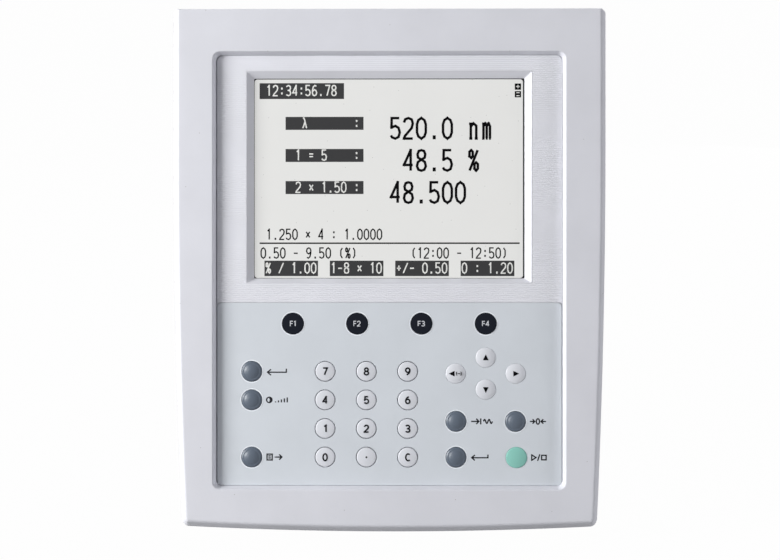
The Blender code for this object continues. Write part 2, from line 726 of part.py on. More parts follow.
def sample_lid(front, paint):
    """The lid's own frame has its origin on the hinge axis."""
    half = HATCH_HALF_WIDTH + LID_OVERLAP
    low = (-half, HATCH_FRONT - LID_OVERLAP)
    high = (half, HATCH_REAR + LID_OVERLAP)
    base = COVER_TOP + GAP
    top = base + LID_HEIGHT
    edge = LID_WALL / 2
    outer = lofted([
        along("Z", rounded(low, high, LID_CORNER), base),
        along("Z", rounded(low, high, LID_CORNER), top - edge),
        along("Z", rounded([c + edge for c in low], [c - edge for c in high], LID_CORNER - edge), top),
    ])
    wall = LID_WALL
    inside = rounded([c + wall for c in low], [c - wall for c in high], LID_CORNER / 2)
    hollow = prism(inside, base - CUT, top - wall)
    grip = box((-GRIP_HALF_WIDTH, low[1] - GRIP_REACH, top - LID_HEIGHT / 2),
               (GRIP_HALF_WIDTH, low[1] + wall / 2, top - edge))
    reach = HINGE_DEPTH - high[1]
    arms = []
    for middle in (-HINGE_PLACE, HINGE_PLACE):
        span = (middle - KNUCKLE_LENGTH / 2, middle + KNUCKLE_LENGTH / 2)
        arms.append(rod(KNUCKLE_RADIUS, (HINGE_DEPTH, HINGE_HEIGHT), *span, "X"))
        arms.append(box((span[0] + CUT / 4, high[1] - wall / 2, HINGE_HEIGHT - KNUCKLE_RADIUS * 0.6),
                        (span[1] - CUT / 4, high[1] + reach, HINGE_HEIGHT + KNUCKLE_RADIUS * 0.6)))
    bore = [rod(PIN_RADIUS + GAP, (HINGE_DEPTH, HINGE_HEIGHT), -half, half, "X", 12)]
    shift = (0, -HINGE_DEPTH, -HINGE_HEIGHT)
    made = part("sample_lid", paint, front, [moved(outer, shift)], cut=[moved(hollow, shift)],
                place=(0, HINGE_DEPTH, HINGE_HEIGHT))
    combine(made, [moved(body, shift) for body in [grip] + arms], "UNION")
    combine(made, [moved(body, shift) for body in bore], "DIFFERENCE")


def lid_hinge_pin(front, steel):
    reach = max(max(span) for span in lug_spans())
    pin = rod(PIN_RADIUS, (0, 0), -reach, reach, "X", 12)
    part("lid_hinge_pin", steel, front, [pin], place=(0, HINGE_DEPTH, HINGE_HEIGHT))


def control_board(front, board):
    """The main board, with the data ports that reach through the rear wall."""
    rear = REAR_INNER - GAP
    sheet = box((CONTROL_LEFT, CONTROL_FRONT, CONTROL_HEIGHT - BOARD_THICKNESS),
                (CONTROL_RIGHT, rear, CONTROL_HEIGHT))
    root = PORT_BASE
    added = []
    for across, width, height in PORTS:
        added.append(box((across - width / 2, DEPTH - PORT_DEPTH, root),
                         (across + width / 2, DEPTH - GAP, CONTROL_HEIGHT + height)))
    inset = 2 * STANDOFF_RADIUS
    for across in (CONTROL_LEFT + inset, CONTROL_RIGHT - inset):
        for depth in (CONTROL_FRONT + inset, rear - inset - PORT_DEPTH):
            added.append(rod(STANDOFF_RADIUS, (across, depth), CHASSIS_TOP + GAP, root, sides=12))
    middle = ((CONTROL_LEFT + CONTROL_RIGHT) / 2, CONTROL_FRONT)
    for across, depth, side in ((0, 0.040, 0.028), (-0.024, 0.075, 0.016), (0.022, 0.080, 0.014)):
        centre = (middle[0] + across, middle[1] + depth, CONTROL_HEIGHT + CHIP_HEIGHT / 4)
        added.append(block(centre, (side, side, CHIP_HEIGHT * 1.5)))
    made = part("control_board", board, front, [sheet], added=added)
    cuts = []
    for across, width, height in PORTS:
        cuts.append(box((across - width / 2 + PORT_RIM, DEPTH - PORT_SOCKET, CONTROL_HEIGHT + PORT_RIM),
                        (across + width / 2 - PORT_RIM, DEPTH + CUT, CONTROL_HEIGHT + height - PORT_RIM)))
    combine(made, cuts, "DIFFERENCE")


def power_supply(front, metal):
    low = (SUPPLY_LEFT, SUPPLY_FRONT, CHASSIS_TOP + GAP)
    high = [start + size for start, size in zip(low, SUPPLY_SIZE)]
    slots = []
    for i in range(SUPPLY_SLOTS):
        depth = low[1] + (i + 1) * SUPPLY_SIZE[1] / (SUPPLY_SLOTS + 1)
        middle = ((low[0] + high[0]) / 2, depth, high[2])
        slots.append(block(middle, (SUPPLY_SIZE[0] * 0.7, LOUVRE_WIDTH, 2 * SHEET)))
    part("power_supply", metal, front, [box(low, high)], cut=slots)


def filter_drive(root):
    """The filter wheel's motor on its stand, with the axle that carries the wheel."""
    centre = (-WHEEL_OFFSET, BEAM_HEIGHT)
    side = WHEEL_MOTOR / 2
    face = WHEEL_PLACE + 2 * SHEET + GAP
    motor = block((centre[0], face + side, centre[1]), (WHEEL_MOTOR,) * 3)
    stand = box((centre[0] - side / 2, face + side / 2, root),
                (centre[0] + side / 2, face + 1.5 * side, centre[1]))
    return [motor, stand, rod(AXLE_RADIUS, centre, WHEEL_PLACE, face + side, "Y", 12)]


def optical_bench(front, metal):
    base = BENCH_TOP - BENCH_THICKNESS
    plate = box((-BENCH_HALF_WIDTH, BENCH_FRONT, base), (BENCH_HALF_WIDTH, BENCH_REAR, BENCH_TOP))
    added = []
    inset = LEG_RADIUS + GAP
    for across in (-BENCH_HALF_WIDTH + inset, BENCH_HALF_WIDTH - inset):
        for depth in (BENCH_FRONT + inset, BENCH_REAR - inset):
            added.append(rod(LEG_RADIUS, (across, depth), CHASSIS_TOP + GAP, base + CUT))
    root = BENCH_TOP - CUT
    high = BEAM_HEIGHT + SLIT_WALL / 2
    added.append(box((-SLIT_WALL / 4, SLIT_PLACE, root), (SLIT_WALL / 2, SLIT_PLACE + SHEET, high)))
    slit = LAMP_HOUSE_LEFT - SLIT_STANDOFF
    added.append(box((slit - SHEET, FOLD_PLACE[1] - SLIT_WALL / 2, root),
                     (slit, FOLD_PLACE[1] + SLIT_WALL / 2, high)))
    mirror = box((-SLIT_WALL / 2, -SHEET, root), (SLIT_WALL / 2, SHEET, high))
    added.append(moved(mirror, (*FOLD_PLACE, 0), FOLD_TURN))
    size = GRATING_MOTOR
    added.append(block((0, GRATING_PLACE, base - size / 2 + CUT), (size, size, size + 2 * CUT)))
    added += filter_drive(root)
    made = part("optical_bench", metal, front, [plate], added=added)
    cuts = [
        rod(SHAFT_RADIUS + GAP, (0, GRATING_PLACE), base - SHAFT_REACH, BENCH_TOP + CUT),
        rod(SHAFT_RADIUS + GAP, (LAMP_COLUMN, FOLD_PLACE[1]), base - CUT, BENCH_TOP + CUT),
        box((-SLIT_WIDTH / 2, SLIT_PLACE - CUT, BEAM_HEIGHT - SLIT_LENGTH / 2),
            (SLIT_WIDTH / 2, SLIT_PLACE + SHEET + CUT, BEAM_HEIGHT + SLIT_LENGTH / 2)),
        box((slit - SHEET - CUT, FOLD_PLACE[1] - SLIT_WIDTH / 2, BEAM_HEIGHT - SLIT_LENGTH / 2),
            (slit + CUT, FOLD_PLACE[1] + SLIT_WIDTH / 2, BEAM_HEIGHT + SLIT_LENGTH / 2)),
    ]
    combine(made, cuts, "DIFFERENCE")


def sample_well(front, black):
    half, low, high = WELL_HALF_WIDTH, WELL_FRONT, WELL_REAR
    outer = box((-half - SHEET, low - SHEET, WELL_FLOOR - SHEET), (half + SHEET, high + SHEET, WELL_TOP))
    reach = WELL_FLANGE + SHEET
    rim = box((-half - reach, low - reach, WELL_TOP - SHEET), (half + reach, high + reach, WELL_TOP))
    made = part("sample_well", black, front, [outer], added=[rim])
    port = BEAM_PORT
    cuts = [
        box((-half, low, WELL_FLOOR), (half, high, WELL_TOP + CUT)),
        box((-port, low - SHEET - CUT, BEAM_HEIGHT - port),
            (port, high + SHEET + CUT, BEAM_HEIGHT + port)),
        rod(SCREW_ROD_RADIUS + GAP, (CELL_ROW, DRIVE_HEIGHT), half - CUT, half + SHEET + CUT, "X", 12),
    ]
    combine(made, cuts, "DIFFERENCE")


def carriage(front, black, steel, dark):
    half, deep = CARRIAGE_HALF, CARRIAGE_HALF_DEPTH
    bottom = WELL_FLOOR + GAP
    body = box((-half, -deep, bottom), (half, deep, CARRIAGE_TOP))
    cuts = []
    for i in range(CELLS):
        across = (i - (CELLS - 1) / 2) * CELL_PITCH
        side = CELL_SIDE / 2
        cuts.append(box((across - side, -side, CARRIAGE_TOP - CELL_DEPTH),
                        (across + side, side, CARRIAGE_TOP + CUT)))
        cuts.append(box((across - CELL_WINDOW / 2, -deep - CUT, BEAM_HEIGHT - SLIT_LENGTH / 2),
                        (across + CELL_WINDOW / 2, deep + CUT, BEAM_HEIGHT + SLIT_LENGTH / 2)))
    for shift, radius in ((-RAIL_SPREAD, RAIL_RADIUS), (0, SCREW_ROD_RADIUS), (RAIL_SPREAD, RAIL_RADIUS)):
        cuts.append(rod(radius + GAP, (shift, DRIVE_HEIGHT), -half - CUT, half + CUT, "X", 12))
    part("cell_carriage", black, front, [body], cut=cuts, place=(REST_SHIFT, CELL_ROW, 0))

    end = WELL_HALF_WIDTH - GAP
    rails = [rod(RAIL_RADIUS, (side * RAIL_SPREAD, DRIVE_HEIGHT), -end, end, "X", 12) for side in (-1, 1)]
    brackets = []
    for way in (-1, 1):
        span = sorted((way * end, way * (end - BRACKET_THICKNESS)))
        brackets.append(box((span[0], -deep, bottom), (span[1], deep, DRIVE_HEIGHT + RAIL_SPREAD)))
    bore = rod(SCREW_ROD_RADIUS + GAP, (0, DRIVE_HEIGHT), -end - CUT, end + CUT, "X", 12)
    added = [rails[1]] + brackets
    frame = part("carriage_rails", steel, front, [rails[0]], added=added, place=(0, CELL_ROW, 0))
    combine(frame, [bore], "DIFFERENCE")

    motor_face = WELL_HALF_WIDTH + SHEET + GAP
    rod_end = motor_face + MOTOR_SOCKET - GAP
    screw = rod(SCREW_ROD_RADIUS, (0, 0), -end, rod_end, "X", 12)
    part("carriage_screw", steel, front, [screw], place=(0, CELL_ROW, DRIVE_HEIGHT))

    middle = (motor_face + MOTOR_SIDE / 2, CELL_ROW, DRIVE_HEIGHT)
    socket = rod(SCREW_ROD_RADIUS + GAP, (CELL_ROW, DRIVE_HEIGHT), motor_face - CUT,
                 motor_face + MOTOR_SOCKET, "X", 12)
    part("carriage_motor", dark, front, [block(middle, (MOTOR_SIDE,) * 3)], cut=[socket])


def optics(front, looks):
    """The turning and standing pieces on the bench, from the beam's entrance to its end."""
    base = BENCH_TOP + GAP
    turntable = turned([
        (SHAFT_RADIUS, BENCH_TOP - BENCH_THICKNESS - SHAFT_REACH + GAP),
        (SHAFT_RADIUS, base),
        (TURNTABLE_RADIUS, base),
        (TURNTABLE_RADIUS, base + TURNTABLE_THICKNESS),
    ], sides=24)
    part("grating_turntable", looks["steel"], front, [turntable], place=(0, GRATING_PLACE, 0))
    low = base + TURNTABLE_THICKNESS + GAP
    half = TURNTABLE_RADIUS * 0.85
    grating = box((-half, -GRATING_THICKNESS / 2, low), (half, GRATING_THICKNESS / 2, BEAM_HEIGHT + half))
    part("diffraction_grating", looks["mirror"], front, [grating], place=(0, GRATING_PLACE, 0),
         turn=(0, 0, GRATING_TURN))

    mirror = block((0, 0, BEAM_HEIGHT), (LAMP_MIRROR, SHEET, LAMP_MIRROR))
    post = turned([
        (SHAFT_RADIUS, BENCH_TOP - BENCH_THICKNESS),
        (SHAFT_RADIUS, base),
        (2 * SHAFT_RADIUS, base),
        (2 * SHAFT_RADIUS, base + SHEET),
        (SHAFT_RADIUS, base + 2 * SHEET),
        (SHAFT_RADIUS, BEAM_HEIGHT - LAMP_MIRROR / 2 + SHEET),
    ])
    part("lamp_mirror", looks["mirror"], front, [mirror], added=[post],
         place=(LAMP_COLUMN, FOLD_PLACE[1], 0), turn=(0, 0, -pi / 4))

    centre = (-WHEEL_OFFSET, BEAM_HEIGHT)
    wheel = turned([
        (WHEEL_RADIUS, 0),
        (WHEEL_RADIUS, SHEET),
        (WHEEL_HUB, SHEET),
        (WHEEL_HUB, 2 * SHEET),
    ], axis="Y", sides=32)
    holes = []
    for i in range(WHEEL_HOLES):
        angle = 2 * pi * i / WHEEL_HOLES
        place = (WHEEL_OFFSET * cos(angle), WHEEL_OFFSET * sin(angle))
        holes.append(rod(FILTER_RADIUS, place, -CUT, SHEET + CUT, "Y", 12))
    holes.append(rod(AXLE_RADIUS + GAP, (0, 0), -CUT, 2 * SHEET + CUT, "Y", 12))
    part("filter_wheel", looks["steel"], front, [wheel], cut=holes,
         place=(centre[0], WHEEL_PLACE, centre[1]))

    rear = WELL_FRONT - SHEET - GAP
    high = BEAM_HEIGHT + DETECTOR_HALF
    body = box((-DETECTOR_HALF, rear - DETECTOR_DEPTH, base), (DETECTOR_HALF, rear, high))
    port = rod(BEAM_PORT, (0, BEAM_HEIGHT), rear - DETECTOR_DEPTH / 2, rear + CUT, "Y")
    part("detector_block", looks["black"], front, [body], cut=[port])


def lamps(front, looks):
    base = BENCH_TOP + GAP
    left, right, low, high = LAMP_HOUSE_LEFT, LAMP_HOUSE_RIGHT, LAMP_HOUSE_FRONT, LAMP_HOUSE_REAR
    outer = box((left, low, base), (right, high, LAMP_HOUSE_TOP))
    hollow = box((left + SHEET, low + SHEET, base - CUT),
                 (right - SHEET, high - SHEET, LAMP_HOUSE_TOP - SHEET))
    house = part("lamp_house", looks["metal"], front, [outer], cut=[hollow])
    cuts = [rod(BEAM_PORT, (FOLD_PLACE[1], BEAM_HEIGHT), left - CUT, left + SHEET + CUT, "X")]
    for i in range(HOUSE_SLOTS):
        depth = low + (i + 1) * (high - low) / (HOUSE_SLOTS + 1)
        middle = ((left + right) / 2, depth, LAMP_HOUSE_TOP)
        cuts.append(block(middle, ((right - left) * 0.6, LOUVRE_WIDTH, 4 * SHEET)))
    combine(house, cuts, "DIFFERENCE")

    bulb = DEUTERIUM_RADIUS
    profile = [
        (bulb * 0.9, base),
        (bulb * 0.9, base + LAMP_BASE),
        (bulb, base + LAMP_BASE + SHEET),
        (bulb, BEAM_HEIGHT + bulb),
        (bulb * 0.7, BEAM_HEIGHT + bulb * 1.6),
        (bulb * 0.2, BEAM_HEIGHT + bulb * 1.9),
    ]
    part("deuterium_lamp", looks["glass"], front, [turned(profile)],
         place=(LAMP_COLUMN, FOLD_PLACE[1] + LAMP_REACH, 0))
    bulb = HALOGEN_RADIUS
    neck = BEAM_HEIGHT - 3 * bulb
    profile = [
        (bulb * 1.5, base),
        (bulb * 1.5, neck),
        (bulb * 0.8, neck + SHEET),
        (bulb * 0.8, BEAM_HEIGHT - 1.5 * bulb),
        (bulb, BEAM_HEIGHT - bulb),
        (bulb, BEAM_HEIGHT + bulb),
        (bulb * 0.4, BEAM_HEIGHT + 2 * bulb),
    ]
    part("halogen_lamp", looks["glass"], front, [turned(profile)],
         place=(LAMP_COLUMN, FOLD_PLACE[1] - LAMP_REACH, 0))


def fan(front, looks):
    half = FAN_SIDE / 2
    rear = REAR_INNER - GAP
    face = rear - FAN_DEPTH
    centre = (FAN_ACROSS, FAN_HEIGHT)
    outline = rounded([c - half for c in centre], [c + half for c in centre], FAN_CORNER)
    frame = part("fan_frame", looks["dark"], front, [prism(outline, face, rear, "Y")])
    combine(frame, [rod(FAN_BORE, centre, face - CUT, rear + CUT, "Y", 32)], "DIFFERENCE")
    cap = rear - FAN_STRUT
    struts = [rod(FAN_HUB, centre, cap, rear, "Y", 16)]
    for i in range(3):
        arm = box((0, cap, -FAN_STRUT / 2), (FAN_BORE + CUT, cap + FAN_STRUT, FAN_STRUT / 2))
        struts.append(moved(arm, (centre[0], 0, centre[1]), 2 * pi * (i + 0.25) / 3, "Y"))
    combine(frame, struts, "UNION")
    depth = FAN_DEPTH - FAN_STRUT - 2 * GAP
    hub = rod(FAN_HUB, (0, 0), 0, depth, "Y")
    blades = []
    for i in range(FAN_BLADES):
        blade = block((0, 0, 0), (FAN_BORE - FAN_TIP - FAN_HUB + CUT, BLADE_THICKNESS, depth * 0.8))
        blade = moved(blade, turn=BLADE_PITCH, axis="X")
        blade = moved(blade, ((FAN_BORE - FAN_TIP + FAN_HUB - CUT) / 2, depth / 2, 0))
        blades.append(moved(blade, turn=2 * pi * i / FAN_BLADES, axis="Y"))
    part("fan_rotor", looks["dark"], front, [hub], added=blades,
         place=(FAN_ACROSS, face + GAP, FAN_HEIGHT))


def power_inlet(front, looks):
    width, height = INLET_BODY
    rear = DEPTH - GAP
    deep = REAR_INNER - INLET_DEPTH
    low, high = INLET_HEIGHT - height / 2, INLET_HEIGHT + height / 2
    body = box((INLET_ACROSS - width / 2, deep, low), (INLET_ACROSS + width / 2, rear, high))
    collar = box((INLET_ACROSS - width / 2 - SHEET, deep, low - SHEET),
                 (INLET_ACROSS + width / 2 + SHEET, REAR_INNER - GAP, high + SHEET))
    made = part("power_inlet", looks["dark"], front, [body], added=[collar])
    side, rise = INLET_SOCKET[0] / 2, INLET_SOCKET[1] / 2
    middle = low + INLET_RIM + rise
    chamfer = rise / 2
    outline = [(-side, -rise), (side, -rise), (side, rise - chamfer), (side - chamfer, rise),
               (-side + chamfer, rise), (-side, rise - chamfer)]
    outline = [(INLET_ACROSS + a, middle + b) for a, b in outline]
    combine(made, [prism(outline, DEPTH - SOCKET_DEPTH, DEPTH + CUT, "Y")], "DIFFERENCE")
    blades = []
    for across, up in ((-INLET_PIN_SPREAD, -rise / 4), (0, rise / 4), (INLET_PIN_SPREAD, -rise / 4)):
        blades.append(block((INLET_ACROSS + across, DEPTH - SOCKET_DEPTH, middle + up),
                            (SHEET, 2 * INLET_PIN_LENGTH, 2 * SHEET)))
    combine(made, blades, "UNION")
    half = ROCKER_WIDTH / 2 + GAP
    place = rocker_height()
    opening = ROCKER_LENGTH / 2 + 2 * GAP
    combine(made, [box((INLET_ACROSS - half, DEPTH - ROCKER_POCKET, place - opening),
                       (INLET_ACROSS + half, DEPTH + CUT, place + opening))], "DIFFERENCE")


def rocker_height():
    """Height of the rocker's axis, midway between the socket and the inlet's upper edge."""
    socket_top = INLET_HEIGHT - INLET_BODY[1] / 2 + INLET_RIM + INLET_SOCKET[1]
    return (socket_top + INLET_HEIGHT + INLET_BODY[1] / 2) / 2


def power_rocker(front, looks):
    """A rocker whose two faces meet at a shallow angle over its axis; it rests tipped."""
    reach = ROCKER_LENGTH / 2 - CUT
    face = ROCKER_FACE
    outline = [
        (-face, -reach), (-ROCKER_HUB, -reach / 2), (-ROCKER_HUB, reach / 2), (-face, reach),
        (0, reach), (-ROCKER_DIP, 0), (0, -reach),
    ]
    outline = [(depth + ROCKER_AXIS, up) for depth, up in outline]
    body = prism(outline, -ROCKER_WIDTH / 2, ROCKER_WIDTH / 2, "X")
    body = moved(body, turn=-radians(ROCKER_SWING / 2), axis="X")
    part("power_rocker", looks["black"], front, [body],
         place=(INLET_ACROSS, DEPTH - ROCKER_SINK, rocker_height()))


def main():
    clear_scene()
    plastic = look("console_plastic", (0.70, 0.70, 0.74), 0.5)
    clear = look("display_glass", (0.75, 0.78, 0.78), 0.08)
    dark = look("dark_plastic", (0.04, 0.045, 0.05), 0.5)
    keypad = look("keypad_plastic", (0.62, 0.66, 0.70), 0.45)
    board = look("circuit_board", (0.02, 0.16, 0.08), 0.5)
    key_looks = {
        "black": look("black_key", (0.012, 0.016, 0.024), 0.45),
        "light": look("light_key", (0.68, 0.70, 0.72), 0.45),
        "slate": look("slate_key", (0.12, 0.16, 0.21), 0.45),
        "green": look("green_key", (0.26, 0.58, 0.45), 0.45),
    }
    front = empty("front_edge", (0, -DEPTH / 2, 0))
    panel = empty("panel", PANEL_PLACE, (pi / 2 - LEAN, 0, 0), front)
    console_shell(panel, plastic)
    display_parts(panel, clear, dark)
    keypad_panel(panel, keypad)
    keys(panel, key_looks)
    key_board(panel, board)
    paint = look("cover_paint", (0.66, 0.66, 0.69), 0.5)
    metal = look("chassis_metal", (0.60, 0.60, 0.62), 0.4, 0.9)
    steel = look("steel", (0.55, 0.55, 0.57), 0.3, 1.0)
    rubber = look("rubber", (0.02, 0.02, 0.02), 0.8)
    lid = look("lid_paint", (0.12, 0.16, 0.21), 0.5)
    chassis(front, metal)
    rubber_feet(front, rubber)
    top_cover(front, paint)
    sample_lid(front, lid)
    lid_hinge_pin(front, steel)
    black = look("black_anodised", (0.02, 0.02, 0.022), 0.5, 0.5)
    control_board(front, board)
    power_supply(front, metal)
    optical_bench(front, metal)
    sample_well(front, black)
    carriage(front, black, steel, dark)
    glass = look("lamp_glass", (0.85, 0.87, 0.88), 0.05)
    mirror = look("mirror_coating", (0.85, 0.85, 0.87), 0.05, 1.0)
    looks = {"metal": metal, "steel": steel, "mirror": mirror}
    looks.update({"dark": dark, "black": black, "glass": glass})
    optics(front, looks)
    lamps(front, looks)
    fan(front, looks)
    power_inlet(front, looks)
    power_rocker(front, looks)


main()
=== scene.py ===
"""The looks of the bench-top spectrophotometer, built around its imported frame."""

from math import cos, pi, radians, sin, sqrt

import bmesh
import bpy
from mathutils import Matrix, Vector


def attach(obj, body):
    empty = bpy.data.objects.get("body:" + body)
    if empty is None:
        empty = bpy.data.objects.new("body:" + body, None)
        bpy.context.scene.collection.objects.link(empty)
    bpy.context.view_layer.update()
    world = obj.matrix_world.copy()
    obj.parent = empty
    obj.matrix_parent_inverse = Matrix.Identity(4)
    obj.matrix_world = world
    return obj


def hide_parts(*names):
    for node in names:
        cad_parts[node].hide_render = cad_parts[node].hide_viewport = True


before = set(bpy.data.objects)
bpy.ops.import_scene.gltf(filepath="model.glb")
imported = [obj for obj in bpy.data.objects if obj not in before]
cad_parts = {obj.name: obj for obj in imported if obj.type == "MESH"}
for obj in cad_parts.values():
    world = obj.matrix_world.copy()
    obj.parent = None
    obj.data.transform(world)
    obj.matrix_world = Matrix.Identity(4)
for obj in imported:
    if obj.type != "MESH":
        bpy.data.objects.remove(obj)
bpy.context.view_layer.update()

# Lengths are in metres. The panel's own frame has X across, Y up its lean and Z out of its face.
GAP = 0.0003
LEAN = radians(10)
PANEL_LIFT = 0.0075
FRONT = -0.166
REAR = 0.166
PANEL_HEIGHT = 0.2315
PANEL_HALF_TOP = 0.096
PANEL_DEPTH = 0.030
SIDE_ARC_RADIUS = 3.7
SIDE_STRAIGHT = 0.060
BOTTOM_ARC_RADIUS = 1.75
FLARE = 0.0023
FLARE_DEPTH = 0.003
FACE_INSET = 0.0020
FACE_MARGIN = 0.0030
FOOT_DROP = 0.0006
TOP_CORNER = 0.0022
BOTTOM_CORNER = 0.003
WALL = 0.003
FACE_THICKNESS = 0.0065
FOOT_STEPS = 20
SIDE_STEPS = 24
CORNER_STEPS = 8

# The recess. The shifts carry its floor's edges outwards and the shares scale its walls' slopes,
# both in the order left, right, foot, head.
RECESS_SLOPE = 0.002
RECESS_DEPTH = 0.0035
RECESS_CORNER = 0.0026
FLOOR_SHIFTS = (0.0007, 0.0004, 0.0005, 0.00035)
WALL_SHARES = (0.65, 0.65, 0.75, 0.69)
FLOOR_HALF = 0.0765
FLOOR_LOW = 0.0202
FLOOR_HIGH = 0.2109

# The display's opening. A share of the bezel is 0 at the pane and 1 at the slope's outer edge.
WINDOW_HALF = 0.0602
WINDOW_LOW = 0.1119
WINDOW_HIGH = 0.2011
WINDOW_CORNER = 0.0006
BEZEL_SIDE = 0.0031
BEZEL_SHIFT = 0.0003
BEZEL_TOP = 0.0030
BEZEL_BOTTOM = 0.0021
BEZEL_CREST = 0.98
BEZEL_OUTSIDE = 1.04
RIBS_INSIDE = 1.06

# The keypad's sheet and the ribbed plate above it, which share one level.
KEYPAD_TOP = 0.1012
KEYPAD_CORNER = 0.0018
KEYPAD_GAPS = (-0.0001, -0.0001, -0.0004, 0.0001)
SHEET_MARGIN = 0.0008
HOLE_MARGIN = 0.0004
RIB_GAPS = (-0.0002, -0.00028, -0.00023)
RIB_PITCH = 0.00088
RIB_RISE = 0.00010
RIB_LEAD = 0.0004
RIB_END_GAP = 0.00005
POCKET_FLOOR = -0.0048
KEYPAD_REAR = POCKET_FLOOR + GAP
KEYPAD_FACE = -RECESS_DEPTH - 0.00005
GLASS_FACE = -FACE_THICKNESS - GAP
MARK_RISE = 0.00003

PHOTO_WIDTH = 0.3455
CAMERA_DISTANCE = 0.82
CAMERA_AIM = (0.0003, 0.1112)
CAMERA_TURN = radians(0.7)
BODY_MIDDLE = (0, 0, 0.12)

PANEL = Matrix.Translation((0, FRONT - FLARE * sin(LEAN), PANEL_LIFT))
PANEL = PANEL @ Matrix.Rotation(pi / 2 - LEAN, 4, "X")


def filled(node, values):
    """A node with some of its inputs set by name."""
    for name, value in values.items():
        node.inputs[name].default_value = value
    return node


def shader_of(name, colour, roughness, metallic=0.0, gloss=0.5):
    """A new material, its node tree and its Principled shader."""
    made = bpy.data.materials.new(name)
    made.use_nodes = True
    values = {"Base Color": (*colour, 1), "Roughness": roughness}
    values.update({"Metallic": metallic, "Specular IOR Level": gloss})
    return made, made.node_tree, filled(made.node_tree.nodes["Principled BSDF"], values)


def noise_at(tree, scale, size, detail=2.0):
    """Noise at a real size in metres."""
    noise = filled(tree.nodes.new("ShaderNodeTexNoise"), {"Scale": 1 / size, "Detail": detail})
    tree.links.new(scale.outputs["Vector"], noise.inputs["Vector"])
    return noise.outputs["Fac"]


def worked_out(tree, operation, first, second):
    """The result of an operation on a socket and a second socket or a number."""
    node = tree.nodes.new("ShaderNodeMath")
    node.operation = operation
    tree.links.new(first, node.inputs[0])
    if isinstance(second, float):
        node.inputs[1].default_value = second
    else:
        tree.links.new(second, node.inputs[1])
    return node.outputs[0]


def grain(tree, shader, size, strength, distance=0.0001, stretch=(1, 1, 1)):
    """Bump from fine noise; gives the node that the material's other noises read."""
    place = tree.nodes.new("ShaderNodeTexCoord")
    scale = filled(tree.nodes.new("ShaderNodeMapping"), {"Scale": stretch})
    bump = filled(tree.nodes.new("ShaderNodeBump"), {"Strength": strength, "Distance": distance})
    tree.links.new(place.outputs["Object"], scale.inputs["Vector"])
    tree.links.new(noise_at(tree, scale, size, 3.0), bump.inputs["Height"])
    tree.links.new(bump.outputs["Normal"], shader.inputs["Normal"])
    return scale


def mottled(tree, shader, scale, size, first, second):
    """Base colour drifting between two near tones over a real size."""
    ramp = tree.nodes.new("ShaderNodeValToRGB")
    for element, position, colour in zip(ramp.color_ramp.elements, (0.35, 0.65), (first, second)):
        element.position = position
        element.color = (*colour, 1)
    tree.links.new(noise_at(tree, scale, size, 4.0), ramp.inputs["Fac"])
    tree.links.new(ramp.outputs["Color"], shader.inputs["Base Color"])


def uneven_gloss(tree, shader, scale, size, low, high):
    """Roughness drifting between two values."""
    spread = filled(tree.nodes.new("ShaderNodeMapRange"), {"To Min": low, "To Max": high})
    tree.links.new(noise_at(tree, scale, size), spread.inputs["Value"])
    tree.links.new(spread.outputs["Result"], shader.inputs["Roughness"])


def specked(tree, shader, scale, spread, size, colour):
    """Sparse small specks of dust, seen from the front, over the base colour."""
    colour_in = shader.inputs["Base Color"]
    turned = filled(tree.nodes.new("ShaderNodeMapping"), {"Rotation": (-pi / 2, 0, 0)})
    cells = filled(tree.nodes.new("ShaderNodeTexVoronoi"), {"Scale": 1 / spread})
    cells.voronoi_dimensions = "2D"
    blend = tree.nodes.new("ShaderNodeMix")
    blend.data_type = "RGBA"
    blend.inputs["B"].default_value = (*colour, 1)
    near = worked_out(tree, "LESS_THAN", cells.outputs["Distance"], size / spread)
    tree.links.new(scale.outputs["Vector"], turned.inputs["Vector"])
    tree.links.new(turned.outputs["Vector"], cells.inputs["Vector"])
    tree.links.new(near, blend.inputs["Factor"])
    tree.links.new(colour_in.links[0].from_socket, blend.inputs["A"])
    tree.links.new(blend.outputs["Result"], colour_in)


def moulded(name, colour, roughness, size, strength, drift=0.02, gloss=0.4, specks=None):
    """Moulded plastic or powder coat: fine grain, near-even colour and gloss."""
    made, tree, shader = shader_of(name, colour, roughness, gloss=gloss)
    scale = grain(tree, shader, size, strength)
    mottled(tree, shader, scale, 0.02, [c * (1 - drift) for c in colour], [c * (1 + drift) for c in colour])
    uneven_gloss(tree, shader, scale, 0.006, roughness - 0.04, roughness + 0.05)
    if specks:
        specked(tree, shader, scale, *specks)
    return made


def brushed(name, colour, roughness):
    """Sheet or ground metal with fine lines along X."""
    made, tree, shader = shader_of(name, colour, roughness, 1.0)
    scale = grain(tree, shader, 0.0004, 0.10, stretch=(0.04, 1, 1))
    mottled(tree, shader, scale, 0.004, [c * 0.95 for c in colour], [c * 1.04 for c in colour])
    uneven_gloss(tree, shader, scale, 0.003, roughness - 0.08, roughness + 0.1)
    return made


